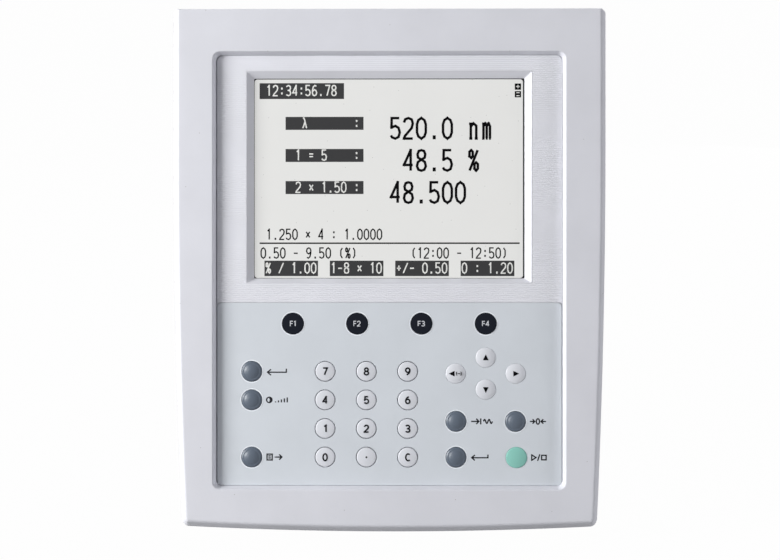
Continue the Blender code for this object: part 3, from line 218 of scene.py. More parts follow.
# Moulded looks: colour, roughness, size and strength of the grain, drift, gloss and specks.
MOULDED = {
    "console_plastic": ((0.70, 0.705, 0.76), 0.48, 0.00035, 0.10, 0.02, 0.4,
                        (0.034, 0.00016, (0.36, 0.35, 0.35))),
    "surround_plastic": ((0.76, 0.765, 0.82), 0.48, 0.00035, 0.10),
    "keypad_sheet": ((0.65, 0.685, 0.735), 0.42, 0.0002, 0.05),
    "cover_paint": ((0.60, 0.605, 0.64), 0.5, 0.0006, 0.25, 0.008),
    "lid_paint": ((0.12, 0.155, 0.20), 0.45, 0.0006, 0.22),
    "black_key": ((0.0085, 0.0105, 0.017), 0.5, 0.0002, 0.05, 0.02, 0.08),
    "light_key": ((0.69, 0.705, 0.755), 0.40, 0.0002, 0.05),
    "slate_key": ((0.086, 0.109, 0.146), 0.42, 0.0002, 0.05, 0.02, 0.55),
    "green_key": ((0.25, 0.56, 0.49), 0.40, 0.0002, 0.05),
    # Painted highlight: a light ring colour that stands for the lit rims of the dark keys' holes.
    "painted_rim_highlight": ((0.88, 0.92, 0.98), 0.45, 0.0002, 0.04),
    "dark_ink": ((0.018, 0.018, 0.022), 0.5, 0.0002, 0.04, 0.02, 0.08),
    "arrow_ink": ((0.003, 0.003, 0.004), 0.5, 0.0002, 0.04, 0.02, 0.03),
    "white_ink": ((0.60, 0.62, 0.66), 0.5, 0.0002, 0.04),
    "display_pane": ((0.27, 0.27, 0.265), 0.3, 0.0003, 0.02, 0.02, 0.4, (0.013, 0.00018, (0.02, 0.02, 0.02))),
    "display_dark_cell": ((0.036, 0.036, 0.038), 0.4, 0.0003, 0.02, 0.02, 0.2),
    "display_figures": ((0.002, 0.002, 0.0025), 0.5, 0.0003, 0.02, 0.02, 0.03),
    "display_light_figures": ((0.78, 0.78, 0.76), 0.4, 0.0003, 0.02),
    "dark_plastic": ((0.022, 0.024, 0.028), 0.45, 0.0004, 0.15),
    "rubber": ((0.018, 0.018, 0.018), 0.75, 0.0005, 0.3),
    "black_anodised": ((0.030, 0.030, 0.033), 0.45, 0.0003, 0.12),
    "circuit_board": ((0.012, 0.11, 0.045), 0.35, 0.0008, 0.2),
    "lamp_glass": ((0.80, 0.84, 0.86), 0.1, 0.002, 0.02),
}
# Metal looks: colour and roughness.
BRUSHED = {
    "chassis_metal": ((0.62, 0.62, 0.64), 0.38),
    "bench_metal": ((0.58, 0.58, 0.60), 0.42),
    "steel": ((0.56, 0.56, 0.58), 0.28),
    "mirror_coating": ((0.86, 0.86, 0.88), 0.06),
}


def all_looks():
    """Every material by its name; the display's pane is lit from behind."""
    looks = {name: moulded(name, *row) for name, row in MOULDED.items()}
    looks.update({name: brushed(name, *row) for name, row in BRUSHED.items()})
    backlight = {"Emission Color": (1.0, 1.0, 0.985, 1), "Emission Strength": 0.50}
    filled(looks["display_pane"].node_tree.nodes["Principled BSDF"], backlight)
    return looks


def settle(made, look, body, replaced=()):
    """Link a mesh object, give it its material and let it ride on its body."""
    bpy.context.scene.collection.objects.link(made)
    made.data.materials.append(look)
    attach(made, body)
    if replaced:
        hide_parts(*replaced)
    return made


def smooth(made):
    """Shade a mesh object's faces smooth."""
    for face in made.data.polygons:
        face.use_smooth = True


def weighted(made, keep_sharp=True):
    """Smooth faces whose large flat neighbours keep their own normals."""
    smooth(made)
    bend = made.modifiers.new("normals", "WEIGHTED_NORMAL")
    bend.keep_sharp = keep_sharp
    bend.weight = 100


def mesh_of(name, verts, faces, place):
    """A mesh object from points given in a place's frame, or in the world's."""
    mesh = bpy.data.meshes.new(name)
    spots = [place @ Vector(v) for v in verts] if place else verts
    mesh.from_pydata(spots, [], faces)
    grown = bmesh.new()
    grown.from_mesh(mesh)
    bmesh.ops.remove_doubles(grown, verts=grown.verts, dist=1e-6)
    bmesh.ops.recalc_face_normals(grown, faces=grown.faces)
    grown.to_mesh(mesh)
    grown.free()
    return bpy.data.objects.new(name, mesh)


def piece(name, verts, faces, look, body="housing", place=PANEL):
    """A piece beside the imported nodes, in the slot that it belongs to."""
    settle(mesh_of(name, verts, faces, place), look, body)


def band(verts, faces, rings):
    """Join equal closed rings, one after the other, with quads; gives the rings' first indices."""
    starts = []
    for ring in rings:
        starts.append(len(verts))
        verts.extend(ring)
    count = len(rings[0])
    for first, second in zip(starts, starts[1:]):
        for i in range(count):
            j = (i + 1) % count
            faces.append((first + i, first + j, second + j, second + i))
    return starts


def capped(verts, faces, rings):
    """Join equal closed rings with quads and close the last one."""
    last = band(verts, faces, rings)[-1]
    faces.append(tuple(range(last, last + len(rings[-1]))))


def softened(profile, reach, steps=4, first=None):
    """A profile whose inner corners are rounded over a reach in metres, the first over its own."""
    made = [profile[0]]
    for i, (before, here, after) in enumerate(zip(profile, profile[1:], profile[2:])):
        span = first if first and i == 0 else reach
        ends = []
        for other in (before, after):
            length = max(abs(a - b) for a, b in zip(here, other))
            share = min(span / length, 0.5) if length else 0
            ends.append([a + (b - a) * share for a, b in zip(here, other)])
        for step in range(steps + 1):
            t = step / steps
            spot = [(1 - t) ** 2 * a + 2 * t * (1 - t) * b + t**2 * c
                    for a, b, c in zip(ends[0], here, ends[1])]
            made.append(spot)
    made.append(profile[-1])
    return made


def flat_fill(verts, faces, outlines, level):
    """Fill between outlines, the first outermost, on one level of the panel's frame."""
    sheet = bmesh.new()
    edges = []
    for outline in outlines:
        points = [sheet.verts.new((p[0], p[1], level)) for p in outline]
        for i, point in enumerate(points):
            edges.append(sheet.edges.new((point, points[(i + 1) % len(points)])))
    bmesh.ops.triangle_fill(sheet, use_beauty=True, use_dissolve=False, edges=edges, normal=(0, 0, 1))
    first = len(verts)
    sheet.verts.index_update()
    verts.extend([tuple(v.co) for v in sheet.verts])
    faces.extend([tuple(first + v.index for v in face.verts) for face in sheet.faces])
    sheet.free()


def arc(middle, size, start, end, steps=16):
    """Points along part of an ellipse between two angles in degrees."""
    angles = [radians(start + (end - start) * i / steps) for i in range(steps + 1)]
    return [(middle[0] + size[0] * cos(a), middle[1] + size[1] * sin(a)) for a in angles]


def rounded(low, high, corner, steps=6):
    """A rectangle's outline with round corners, from the upper end of its right side."""
    left, right = low[0] + corner, high[0] - corner
    foot, head = low[1] + corner, high[1] - corner
    points = []
    for quarter, centre in enumerate(((right, head), (left, head), (left, foot), (right, foot))):
        points += arc(centre, (corner, corner), 90 * quarter, 90 * quarter + 90, steps)
    return points


def circle(radius, centre, sides=64):
    """Points round a centre."""
    return arc(centre, (radius, radius), 0, 360, sides)[:-1]


def lifted(outline, level):
    """An outline's points on one level."""
    return [(a, b, level) for a, b in outline]


def drawn_out(outline, levels):
    """Rings of one outline on several levels."""
    return [lifted(outline, level) for level in levels]


def turned_rings(profile, centre, sides=64):
    """Rings round a centre from rows of radius and level."""
    return [lifted(circle(radius, centre, sides), level) for radius, level in profile]


def carried(rings, place):
    """Rings moved from a place's own frame into the world's."""
    return [[place @ Vector(p) for p in ring] for ring in rings]


def half_width(up):
    """Half width of the panel at a height: straight under its head, then drawn in along an arc."""
    drop = max(0.0, PANEL_HEIGHT - up - SIDE_STRAIGHT)
    return PANEL_HALF_TOP - SIDE_ARC_RADIUS + sqrt(SIDE_ARC_RADIUS**2 - drop**2)


def bow(across):
    """How far the panel's foot edge rises at a distance from its middle."""
    return BOTTOM_ARC_RADIUS - sqrt(BOTTOM_ARC_RADIUS**2 - across**2)


def panel_outline(side, low, top):
    """The panel's outline drawn in at its sides, its foot and its head."""
    foot_corner = max(BOTTOM_CORNER - side, TOP_CORNER / 4)
    head_corner = max(TOP_CORNER - side, TOP_CORNER / 4)
    reach = half_width(low) - side - foot_corner
    foot = low + bow(reach) + foot_corner
    head = PANEL_HEIGHT - top - head_corner
    head_reach = half_width(head) - side - head_corner
    points = [(reach * i / FOOT_STEPS, low + bow(reach * i / FOOT_STEPS)) for i in range(FOOT_STEPS)]
    points += arc((reach, foot), (foot_corner, foot_corner), -90, 0, CORNER_STEPS)[:-1]
    for i in range(SIDE_STEPS):
        up = foot + (head - foot) * i / SIDE_STEPS
        points.append((half_width(up) - side, up))
    points += arc((head_reach, head), (head_corner, head_corner), 0, 90, CORNER_STEPS)
    return points + [(-across, up) for across, up in reversed(points[1:])]


def recess_outline(grow):
    """The recess's edge, from its floor at 0 to its mouth, each wall with its own slope."""
    left, right, foot, head = (shift + grow * share for shift, share in zip(FLOOR_SHIFTS, WALL_SHARES))
    low = (-FLOOR_HALF - left, FLOOR_LOW - foot)
    high = (FLOOR_HALF + right, FLOOR_HIGH + head)
    return rounded(low, high, RECESS_CORNER + grow / 2, 8)


def window_outline(share):
    """The display opening at a share of its bezel."""
    side = WINDOW_HALF + BEZEL_SIDE * share
    low = (-side - BEZEL_SHIFT, WINDOW_LOW - BEZEL_BOTTOM * share)
    return rounded(low, (side, WINDOW_HIGH + BEZEL_TOP * share), WINDOW_CORNER, 8)


def keypad_outline(inset):
    """The keypad's edge in the recess, with its own gap on each side."""
    left, right, foot, head = (gap + inset for gap in KEYPAD_GAPS)
    low = (-FLOOR_HALF + left, FLOOR_LOW + foot)
    return rounded(low, (FLOOR_HALF - right, KEYPAD_TOP - head), KEYPAD_CORNER - inset, 8)


def console(plastic):
    """The moulded console: sloped edge, face, sloped recess, pocket floor and display bezel."""
    verts, faces = [], []
    edge = FACE_INSET + FACE_MARGIN
    mouth = RECESS_SLOPE + FACE_MARGIN
    outer = softened([
        (edge, edge, FACE_MARGIN, 0),
        (FACE_INSET, FACE_INSET, 0, 0),
        (0, -FOOT_DROP, 0, -FLARE_DEPTH),
        (0, -FOOT_DROP, 0, -PANEL_DEPTH),
        (WALL, WALL, WALL, -PANEL_DEPTH),
        (WALL, WALL, WALL, -FACE_THICKNESS),
    ], 0.0004, first=0.0009)
    inner = softened([(mouth, 0), (RECESS_SLOPE, 0), (0, -RECESS_DEPTH), (0, POCKET_FLOOR)], 0.0004)
    slope = softened([
        (BEZEL_OUTSIDE, POCKET_FLOOR),
        (BEZEL_OUTSIDE, -RECESS_DEPTH),
        (BEZEL_CREST, -RECESS_DEPTH),
        (0.0, -FACE_THICKNESS + 0.0005),
        (0.0, -FACE_THICKNESS),
    ], 0.00015, 3)
    band(verts, faces, [lifted(panel_outline(s, low, top), w) for s, low, top, w in outer])
    band(verts, faces, [lifted(recess_outline(grow), w) for grow, w in reversed(inner)])
    flat_fill(verts, faces, [panel_outline(edge, edge, FACE_MARGIN), recess_outline(mouth)], 0)
    band(verts, faces, [lifted(window_outline(share), w) for share, w in reversed(slope)])
    flat_fill(verts, faces, [recess_outline(0), window_outline(BEZEL_OUTSIDE)], POCKET_FLOOR)
    flat_fill(verts, faces, [panel_outline(WALL, WALL, WALL), window_outline(0)], -FACE_THICKNESS)
    made = mesh_of("console_front", verts, faces, PANEL)
    weighted(settle(made, plastic, "housing", ["console_shell"]))


def surround_side(up, gap, high):
    """Half width of the ribbed plate at a height, round its upper corners."""
    corner = RECESS_CORNER - high
    drop = max(0.0, up - (FLOOR_HIGH - high - corner))
    return FLOOR_HALF - gap - corner + sqrt(max(corner**2 - drop**2, 0))


def surround_edge(low, high):
    """The ribbed plate's outline, which reaches down round the keypad's upper corners."""
    left, right, top = RIB_GAPS
    corner = RECESS_CORNER - top
    turn_in = KEYPAD_CORNER - 0.0004
    corners = (
        (-1, left, low - turn_in, turn_in, 180, 90),
        (1, right, low - turn_in, turn_in, 90, 0),
        (1, right, high - corner, corner, 0, 90),
        (-1, left, high - corner, corner, 90, 180),
    )
    edge = []
    for way, gap, level, bend, start, end in corners:
        edge += arc((way * (FLOOR_HALF - gap - bend), level), (bend, bend), start, end, CORNER_STEPS)
    return edge


def rib(verts, faces, start, end, up):
    """One rib of the plate between two places across it."""
    crest = KEYPAD_FACE + RIB_RISE
    shape = ((0.04, KEYPAD_FACE), (0.22, crest), (0.66, crest), (0.84, KEYPAD_FACE))
    first = len(verts)
    for across in (start, end):
        verts.extend((across, up + share * RIB_PITCH, w) for share, w in shape)
    faces.extend((first + k, first + 4 + k, first + 5 + k, first + 1 + k) for k in range(3))
    faces.append((first, first + 1, first + 2, first + 3))
    faces.append((first + 7, first + 6, first + 5, first + 4))


def ribbed_surround(plastic):
    """The plate with fine level ribs round the display, set in the recess above the keypad."""
    verts, faces = [], []
    left, right, top = RIB_GAPS
    low, high = KEYPAD_TOP, FLOOR_HIGH - top
    edge = surround_edge(low, high)
    hole = window_outline(RIBS_INSIDE)
    band(verts, faces, drawn_out(edge, (KEYPAD_REAR, KEYPAD_FACE)))
    flat_fill(verts, faces, [edge, hole], KEYPAD_FACE)
    hole_low = min(p[1] for p in hole)
    hole_high = max(p[1] for p in hole)
    hole_side = max(p[0] for p in hole)
    for i in range(int((high - low - RIB_LEAD) / RIB_PITCH)):
        up = low + RIB_LEAD + i * RIB_PITCH
        start, end = (surround_side(up + RIB_PITCH, gap, top) - RIB_END_GAP for gap in (left, right))
        if hole_low < up + RIB_PITCH and up < hole_high:
            rib(verts, faces, -start, -hole_side - BEZEL_SHIFT, up)
            rib(verts, faces, hole_side, end, up)
        else:
            rib(verts, faces, -start, end, up)
    piece("display_surround_ribs", verts, faces, plastic)


# Each kind of key: its radius and the gap round it.
KEY_KINDS = {
    "black": (0.00484, 0.00005),
    "light": (0.00432, 0.00030),
    "slate": (0.00454, 0.00014),
    "green": (0.00470, 0.00004),
    "arrow": (0.00450, 0.00002),
}
# Each kind's crown: shares of the radius and heights over the sheet in millimetres.
CROWNS = {
    "black": ((1.0, 0.20), (0.97, 0.34), (0.90, 0.40), (0.5, 0.45), (0.01, 0.47)),
    "light": ((1.0, 0.02), (0.95, 0.24), (0.90, 0.30), (0.7, 0.43), (0.45, 0.55), (0.2, 0.62), (0.01, 0.64)),
    "slate": ((1.0, 0.02), (0.97, 0.12), (0.82, 0.62), (0.77, 0.52), (0.55, 1.06), (0.3, 1.42), (0.01, 1.56)),
    "green": ((1.0, 0.05), (0.97, 0.22), (0.85, 0.40), (0.55, 0.68), (0.25, 0.85), (0.01, 0.89)),
    "arrow": ((1.0, 0.0), (0.97, 0.14), (0.88, 0.32), (0.6, 0.66), (0.3, 0.84), (0.01, 0.90)),
}


KEY_TRAVEL = 0.0008
KEY_ROWS = [0.03238 + 0.01272 * i for i in range(4)]
KEY_COLUMNS = [-0.0286 + 0.01837 * i for i in range(3)]
FUNCTION_ROW = 0.0918
FUNCTION_PITCH = 0.0286
FUNCTION_SHIFT = -0.0001
SLATE_COLUMN = -0.0613
ARROWS_MIDDLE = (0.0428, 0.0696)
ARROWS_REACH = (0.01335, 0.0071)
LOWER_KEYS = (
    ("key_goto", 0.0296, 0.04833, "slate"),
    ("key_auto_zero", 0.0560, 0.04833, "slate"),
    ("key_enter", 0.0296, KEY_ROWS[0], "slate"),
    ("key_start_stop", 0.05645, KEY_ROWS[0] - 0.0001, "green"),
)


def key_list():
    """Every key as (name, across, up, kind)."""
    middles = [(i - 1.5) * FUNCTION_PITCH + FUNCTION_SHIFT for i in range(4)]
    made = [(f"key_f{i + 1}", across, FUNCTION_ROW, "black") for i, across in enumerate(middles)]
    grid = (("0", "point", "clear"), ("1", "2", "3"), ("4", "5", "6"), ("7", "8", "9"))
    for up, names in zip(KEY_ROWS, grid):
        made += [(f"key_{name}", across, up, "light") for across, name in zip(KEY_COLUMNS, names)]
    for name, row in (("print", 0), ("contrast", 2), ("return", 3)):
        made.append((f"key_{name}", SLATE_COLUMN, KEY_ROWS[row], "slate"))
    for name, side, rise in (("up", 0, 1), ("down", 0, -1), ("left", -1, 0), ("right", 1, 0)):
        across = ARROWS_MIDDLE[0] + side * ARROWS_REACH[0]
        made.append((f"key_{name}", across, ARROWS_MIDDLE[1] + rise * ARROWS_REACH[1], "arrow"))
    return made + list(LOWER_KEYS)


def keypad(sheet_look):
    """The keypad's sheet with a softened edge and a hole for each key."""
    verts, faces = [], []
    edge = softened([(SHEET_MARGIN, KEYPAD_FACE), (0.0, KEYPAD_FACE), (0.0, KEYPAD_REAR)], 0.00014, 3)
    band(verts, faces, [lifted(keypad_outline(inset), w) for inset, w in edge])
    outlines = [keypad_outline(SHEET_MARGIN)]
    for _, across, up, kind in key_list():
        hole = sum(KEY_KINDS[kind])
        profile = [(hole + HOLE_MARGIN, KEYPAD_FACE), (hole, KEYPAD_FACE), (hole, KEYPAD_REAR)]
        band(verts, faces, turned_rings(softened(profile, 0.00010, 3)[::-1], (across, up)))
        outlines.append(circle(hole + HOLE_MARGIN, (across, up)))
    flat_fill(verts, faces, outlines, KEYPAD_FACE)
    made = mesh_of("keypad_sheet", verts, faces, PANEL)
    weighted(settle(made, sheet_look, "housing", ["keypad_panel"]))


def key_profile(kind):
    """The key's side and crown as rows of radius and level."""
    radius, _ = KEY_KINDS[kind]
    crown = [(radius * share, KEYPAD_FACE + rise / 1000) for share, rise in CROWNS[kind]]
    return [(radius, KEYPAD_REAR - KEY_TRAVEL)] + softened([(radius, KEYPAD_REAR)] + crown, 0.00018, 3)


def keys(looks):
    """The caps of all keys, each riding on its own key."""
    for name, across, up, kind in key_list():
        verts, faces = [], []
        capped(verts, faces, turned_rings(key_profile(kind), (across, up)))
        look = looks["light_key" if kind == "arrow" else f"{kind}_key"]
        smooth(settle(mesh_of(f"{name}_cap", verts, faces, PANEL), look, name, [name]))


# Widths of the painted highlight rings round the dark keys, and their gap to the holes; the rings stand for
# the holes' lit rims.
RING_WIDTHS = {"black": 0.00052, "slate": 0.00047}
RING_GAP = 0.00002


def printed_rings(ring_look):
    """Light rings round the dark keys on the keypad's sheet, a painted highlight that stands for the lit rims
    of their holes.
    """
    verts, faces = [], []
    for _, across, up, kind in key_list():
        if kind in RING_WIDTHS:
            inner = sum(KEY_KINDS[kind]) + RING_GAP
            profile = [(r, KEYPAD_FACE + MARK_RISE) for r in (inner, inner + RING_WIDTHS[kind])]
            band(verts, faces, turned_rings(profile, (across, up)))
    piece("painted_key_rim_highlights", verts, faces, ring_look)


DOT = 0.000363
DISPLAY_DOTS = (320, 240)
DISPLAY_UP = (WINDOW_LOW + WINDOW_HIGH) / 2
PANE_GAPS = (0.00015, 0.0006, 0.00015, 0.00025)
SCREEN = GLASS_FACE + 0.00001
SHARP_TURN = radians(65)
# Characters as lines in a box one wide and one high.
STROKES = {
    "0": [[(.5, 0), (.16, .1), (0, .3), (0, .7), (.16, .9), (.5, 1), (.84, .9), (1, .7), (1, .3), (.84, .1),
           (.5, 0)]],
    "1": [[(.2, .8), (.55, 1), (.55, 0)]],
    "2": [[(0, .78), (.14, .94), (.5, 1), (.88, .93), (1, .74), (.88, .52), (.1, .12), (0, 0), (1, 0)]],
    "3": [[(0, .88), (.5, 1), (.9, .9), (.95, .7), (.8, .56), (.45, .52), (.85, .46), (1, .27), (.88, .08),
           (.5, 0), (0, .1)]],
    "4": [[(.76, 0), (.76, 1), (0, .28), (1, .28)]],
    "5": [[(.94, 1), (.08, 1), (.06, .54), (.5, .62), (.86, .52), (1, .3), (.86, .08), (.5, 0), (.12, .06),
           (0, .16)]],
    "6": [[(.94, .92), (.6, 1), (.24, .86), (.04, .5), (.04, .24), (.2, .05), (.5, 0), (.86, .08), (1, .3),
           (.84, .5), (.5, .58), (.1, .42)]],
    "7": [[(0, 1), (1, 1), (.4, 0)]],
    "8": [[(.5, .54), (.12, .64), (.06, .8), (.2, .96), (.5, 1), (.8, .96), (.94, .8), (.88, .64), (.5, .54),
           (.1, .42), (0, .22), (.16, .05), (.5, 0), (.84, .05), (1, .22), (.9, .42), (.5, .54)]],
    "9": [[(.06, .08), (.4, 0), (.76, .14), (.96, .5), (.96, .76), (.8, .95), (.5, 1), (.14, .92), (0, .7),
           (.16, .5), (.5, .42), (.9, .58)]],
    ".": [[(.3, .06), (.66, .06)]],
    ":": [[(.3, .22), (.66, .22)], [(.3, .70), (.66, .70)]],
    "%": [[(.05, .7), (.05, .92), (.25, 1), (.42, .92), (.42, .7), (.25, .62), (.05, .7)],
          [(.98, 1), (.06, 0)],
          [(.62, .1), (.62, .32), (.8, .4), (1, .32), (1, .1), (.8, 0), (.62, .1)]],
    "/": [[(0, 0), (1, 1)]],
    "-": [[(.05, .48), (.95, .48)]],
    "+": [[(.05, .48), (.95, .48)], [(.5, .24), (.5, .74)]],
    "x": [[(.1, .2), (.9, .74)], [(.9, .2), (.1, .74)]],
    "=": [[(.05, .36), (.95, .36)], [(.05, .62), (.95, .62)]],
    "(": [[(.75, 1), (.4, .75), (.4, .25), (.75, 0)]],
    ")": [[(.25, 1), (.6, .75), (.6, .25), (.25, 0)]],
    "n": [[(0, .72), (.2, .72), (.2, 0)], [(.2, .58), (.5, .74), (.82, .62), (.82, 0)], [(.02, 0), (.38, 0)],
          [(.64, 0), (1, 0)]],
    "m": [[(0, .72), (.16, .72), (.16, 0)], [(.16, .6), (.36, .74), (.53, .6), (.53, 0)],
          [(.53, .6), (.74, .74), (.9, .6), (.9, 0)], [(0, 0), (.28, 0)], [(.42, 0), (.64, 0)],
          [(.78, 0), (1, 0)]],
    "l": [[(.1, .98), (.3, 1), (.46, .84), (.9, .06), (1, .02)], [(.56, .6), (.08, 0)]],
}


def dots(column, row):
    """A place on the display, in dots from the upper left corner of its picture."""
    return (column - DISPLAY_DOTS[0] / 2) * DOT, DISPLAY_UP + (DISPLAY_DOTS[1] / 2 - row) * DOT


def ribbon(verts, faces, points, closed, width, level):
    """A strip of even width along points that turn gently."""
    count, first = len(points), len(verts)
    for i, here in enumerate(points):
        before = points[i - 1] if closed or i > 0 else here
        after = points[(i + 1) % count] if closed or i < count - 1 else here
        ways = [way.normalized() for way in (here - before, after - here) if way.length > 1e-9]
        sides = [Vector((-way.y, way.x)) for way in ways]
        out = sum(sides, Vector((0, 0))).normalized()
        step = out * width / 2 / max(out.dot(sides[0]), 0.55)
        verts.extend([(*(here + step), level), (*(here - step), level)])
    for i in range(count if closed else count - 1):
        j = (i + 1) % count
        faces.append((first + 2 * i, first + 2 * i + 1, first + 2 * j + 1, first + 2 * j))


def stroke(verts, faces, line, width, level):
    """A line of even width, in one part for each run between its sharp corners."""
    points = [Vector(p) for p in line]
    points = points[:1] + [b for a, b in zip(points, points[1:]) if (b - a).length > 1e-7]
    closed = len(points) > 2 and (points[0] - points[-1]).length < 1e-7
    ways = [after - before for before, after in zip(points, points[1:])]
    cuts = [i + 1 for i in range(len(ways) - 1) if ways[i].angle(ways[i + 1]) > SHARP_TURN]
    if closed and not cuts:
        ribbon(verts, faces, points[:-1], True, width, level)
        return
    ends = [0, *cuts, len(points) - 1]
    for run, (start, end) in enumerate(zip(ends, ends[1:])):
        part = points[start : end + 1]
        if start or closed:
            part[0] = part[0] - ways[start].normalized() * width / 2
        if end < len(points) - 1 or closed:
            part[-1] = part[-1] + ways[end - 1].normalized() * width / 2
        ribbon(verts, faces, part, False, width, level + run * 0.000003)


def written(verts, faces, words, column, row, size=1):
    """Characters in cells of 8 by 16 dots, or of a multiple, from a cell's upper left corner."""
    for i, mark in enumerate(words):
        heavy = 1.55 if mark in ".:" else 1.0
        for line in STROKES.get(mark, ()):
            spots = []
            for across, up in line:
                cell = column + size * (8 * i + 0.9 + across * 5.4)
                spots.append(dots(cell, row + size * (1.3 + (1 - up) * 12.6)))
            stroke(verts, faces, spots, DOT * 1.6 * size * heavy, SCREEN + MARK_RISE)


def display_box(verts, faces, column, row, across, down):
    """A plain box on the display, in dots."""
    left, top = dots(column, row)
    right, foot = dots(column + across, row + down)
    first = len(verts)
    verts.extend([(left, foot, SCREEN), (right, foot, SCREEN), (right, top, SCREEN), (left, top, SCREEN)])
    faces.append((first, first + 1, first + 2, first + 3))


def pane_corners(inset):
    """The low and high corners of the pane in its opening, drawn in by an inset."""
    left, right, foot, head = (gap + inset for gap in PANE_GAPS)
    low = (-WINDOW_HALF - BEZEL_SHIFT + left, WINDOW_LOW + foot)
    return low, (WINDOW_HALF - right, WINDOW_HIGH - head)


def display_pane(pane_look, gasket_look):
    """The display's pane and a dark gasket round it; the gasket's dark colour in the pane's gaps is painted
    shade.
    """
    verts, faces = [], []
    edge = softened([(0.001, GLASS_FACE), (0, GLASS_FACE), (0, GLASS_FACE - 0.002)], 0.0003, 3)
    starts = band(verts, faces, [lifted(rounded(*pane_corners(i), 0.0013), w) for i, w in edge])
    faces.append(tuple(range(starts[0], starts[1])))
    settle(mesh_of("display_pane", verts, faces, PANEL), pane_look, "housing", ["lcd_glass"])
    verts, faces = [], []
    # Painted shade: a dark ring behind the pane's gaps that stands for the shadow in them.
    side = WINDOW_HALF + 0.003
    outside = rounded((-side, WINDOW_LOW - 0.003), (side, WINDOW_HIGH + 0.003), 0.002)
    inside = rounded(*pane_corners(0.002), 0.001)
    levels = (GLASS_FACE - 0.0008, GLASS_FACE - 0.0018)
    outer, inner = (drawn_out(outline, levels) for outline in (outside, inside))
    band(verts, faces, [outer[1], outer[0], inner[0], inner[1], outer[1]])
    piece("display_gap_shade_gasket", verts, faces, gasket_look)


# The display's picture, all in dots from its upper left corner: boxes as (column, row, across, down)
# and words as (text, column, row).
DARK_BOXES = [(0, 2.5, 104, 19.5), (32, 44, 96, 16), (32, 83.5, 96, 16), (32, 123, 96, 16)]
DARK_BOXES += [(6 + 80.5 * i, 221, 66, 19) for i in range(4)]
DARK_MARKS = ((0, 198.6, 320, 1.8), (314, 3.2, 7.7, 7.7), (314, 12.6, 7.7, 7.7))
LARGE_WORDS = (("520.0 nm", 160, 43), ("48.5 %", 176, 82.5), ("48.500", 160, 122))
DARK_WORDS = (("1.250 x 4 : 1.0000", 8, 181), ("0.50 - 9.50 (%)", 1, 204), ("(12:00 - 12:50)", 186, 204))
LOW_WORDS = ("% / 1.00", "1-8 x 10", "+/- 0.50", "0 : 1.20")
LIGHT_WORDS = [("12:34:56.78", 8, 4), ("  l       :", 36, 44)]
LIGHT_WORDS += [(" 1 = 5    :", 36, 83.5), (" 2 x 1.50 :", 36, 123)]
LIGHT_WORDS += [(words, 7 + 80.5 * i, 222.5) for i, words in enumerate(LOW_WORDS)]
LIGHT_LINES = (
    ((315.8, 7), (320, 7)),
    ((317.9, 4.9), (317.9, 9.1)),
    ((316, 14.6), (319.8, 14.6)),
    ((316, 18.2), (319.8, 18.2)),
)


def display_picture(box_look, dark, light):
    """Generic numbers and signs: dark boxes, dark figures on the pane and light ones on the boxes."""
    verts, faces = [], []
    for box in DARK_BOXES:
        display_box(verts, faces, *box)
    piece("display_cells", verts, faces, box_look)
    verts, faces = [], []
    for place in LARGE_WORDS:
        written(verts, faces, *place, 2)
    for place in DARK_WORDS:
        written(verts, faces, *place)
    for box in DARK_MARKS:
        display_box(verts, faces, *box)
    piece("display_figures", verts, faces, dark)
    verts, faces = [], []
    for place in LIGHT_WORDS:
        written(verts, faces, *place)
    for line in LIGHT_LINES:
        stroke(verts, faces, [dots(*spot) for spot in line], 1.2 * DOT, SCREEN + MARK_RISE)
    piece("display_light_figures", verts, faces, light)


def key_glyphs():
    """Plain round-cornered digits and two letters as lines in a box one high."""
    glyphs = {
        "0": [arc((0.3, 0.5), (0.3, 0.5), 0, 360, 28)],
        "1": [[(0.0, 0.80), (0.27, 1.0), (0.27, 0)]],
        "2": [arc((0.3, 0.71), (0.29, 0.29), 172, -42) + [(0, 0), (0.61, 0)]],
        "3": [arc((0.28, 0.75), (0.27, 0.25), 155, -90) + arc((0.28, 0.25), (0.31, 0.25), 90, -155)],
        "4": [[(0.45, 0), (0.45, 1), (0, 0.27), (0.62, 0.27)]],
        "5": [[(0.55, 1), (0.11, 1), (0.06, 0.50)] + arc((0.29, 0.32), (0.31, 0.32), 142, -152)],
        "6": [arc((0.3, 0.31), (0.3, 0.31), 0, 360, 24), arc((0.62, 0.33), (0.62, 0.67), 176, 104)],
        "7": [[(0, 1), (0.6, 1), (0.2, 0)]],
        "8": [arc((0.3, 0.76), (0.25, 0.24), 0, 360, 24), arc((0.3, 0.26), (0.3, 0.26), 0, 360, 24)],
        "C": [arc((0.35, 0.5), (0.35, 0.5), 48, 312, 24)],
        "F": [[(0, 0), (0, 1), (0.52, 1)], [(0, 0.52), (0.47, 0.52)]],
    }
    glyphs["9"] = [[(0.6 - x, 1 - y) for x, y in line] for line in glyphs["6"]]
    return glyphs


MARK_SIZES = {"black": (0.00215, 0.00040), "light": (0.0030, 0.00070)}
LETTER_GAP = 0.22
POINT_RADIUS = 0.00045
ARROW = ((-0.00125, -0.0011), (0.00125, -0.0011), (0.0, 0.0015))
LEFT_ARROW_SHIFT = -0.0016


def mark_level(kind):
    """The level of a mark on a key's crown."""
    return KEYPAD_FACE + CROWNS[kind][-1][1] / 1000 + MARK_RISE


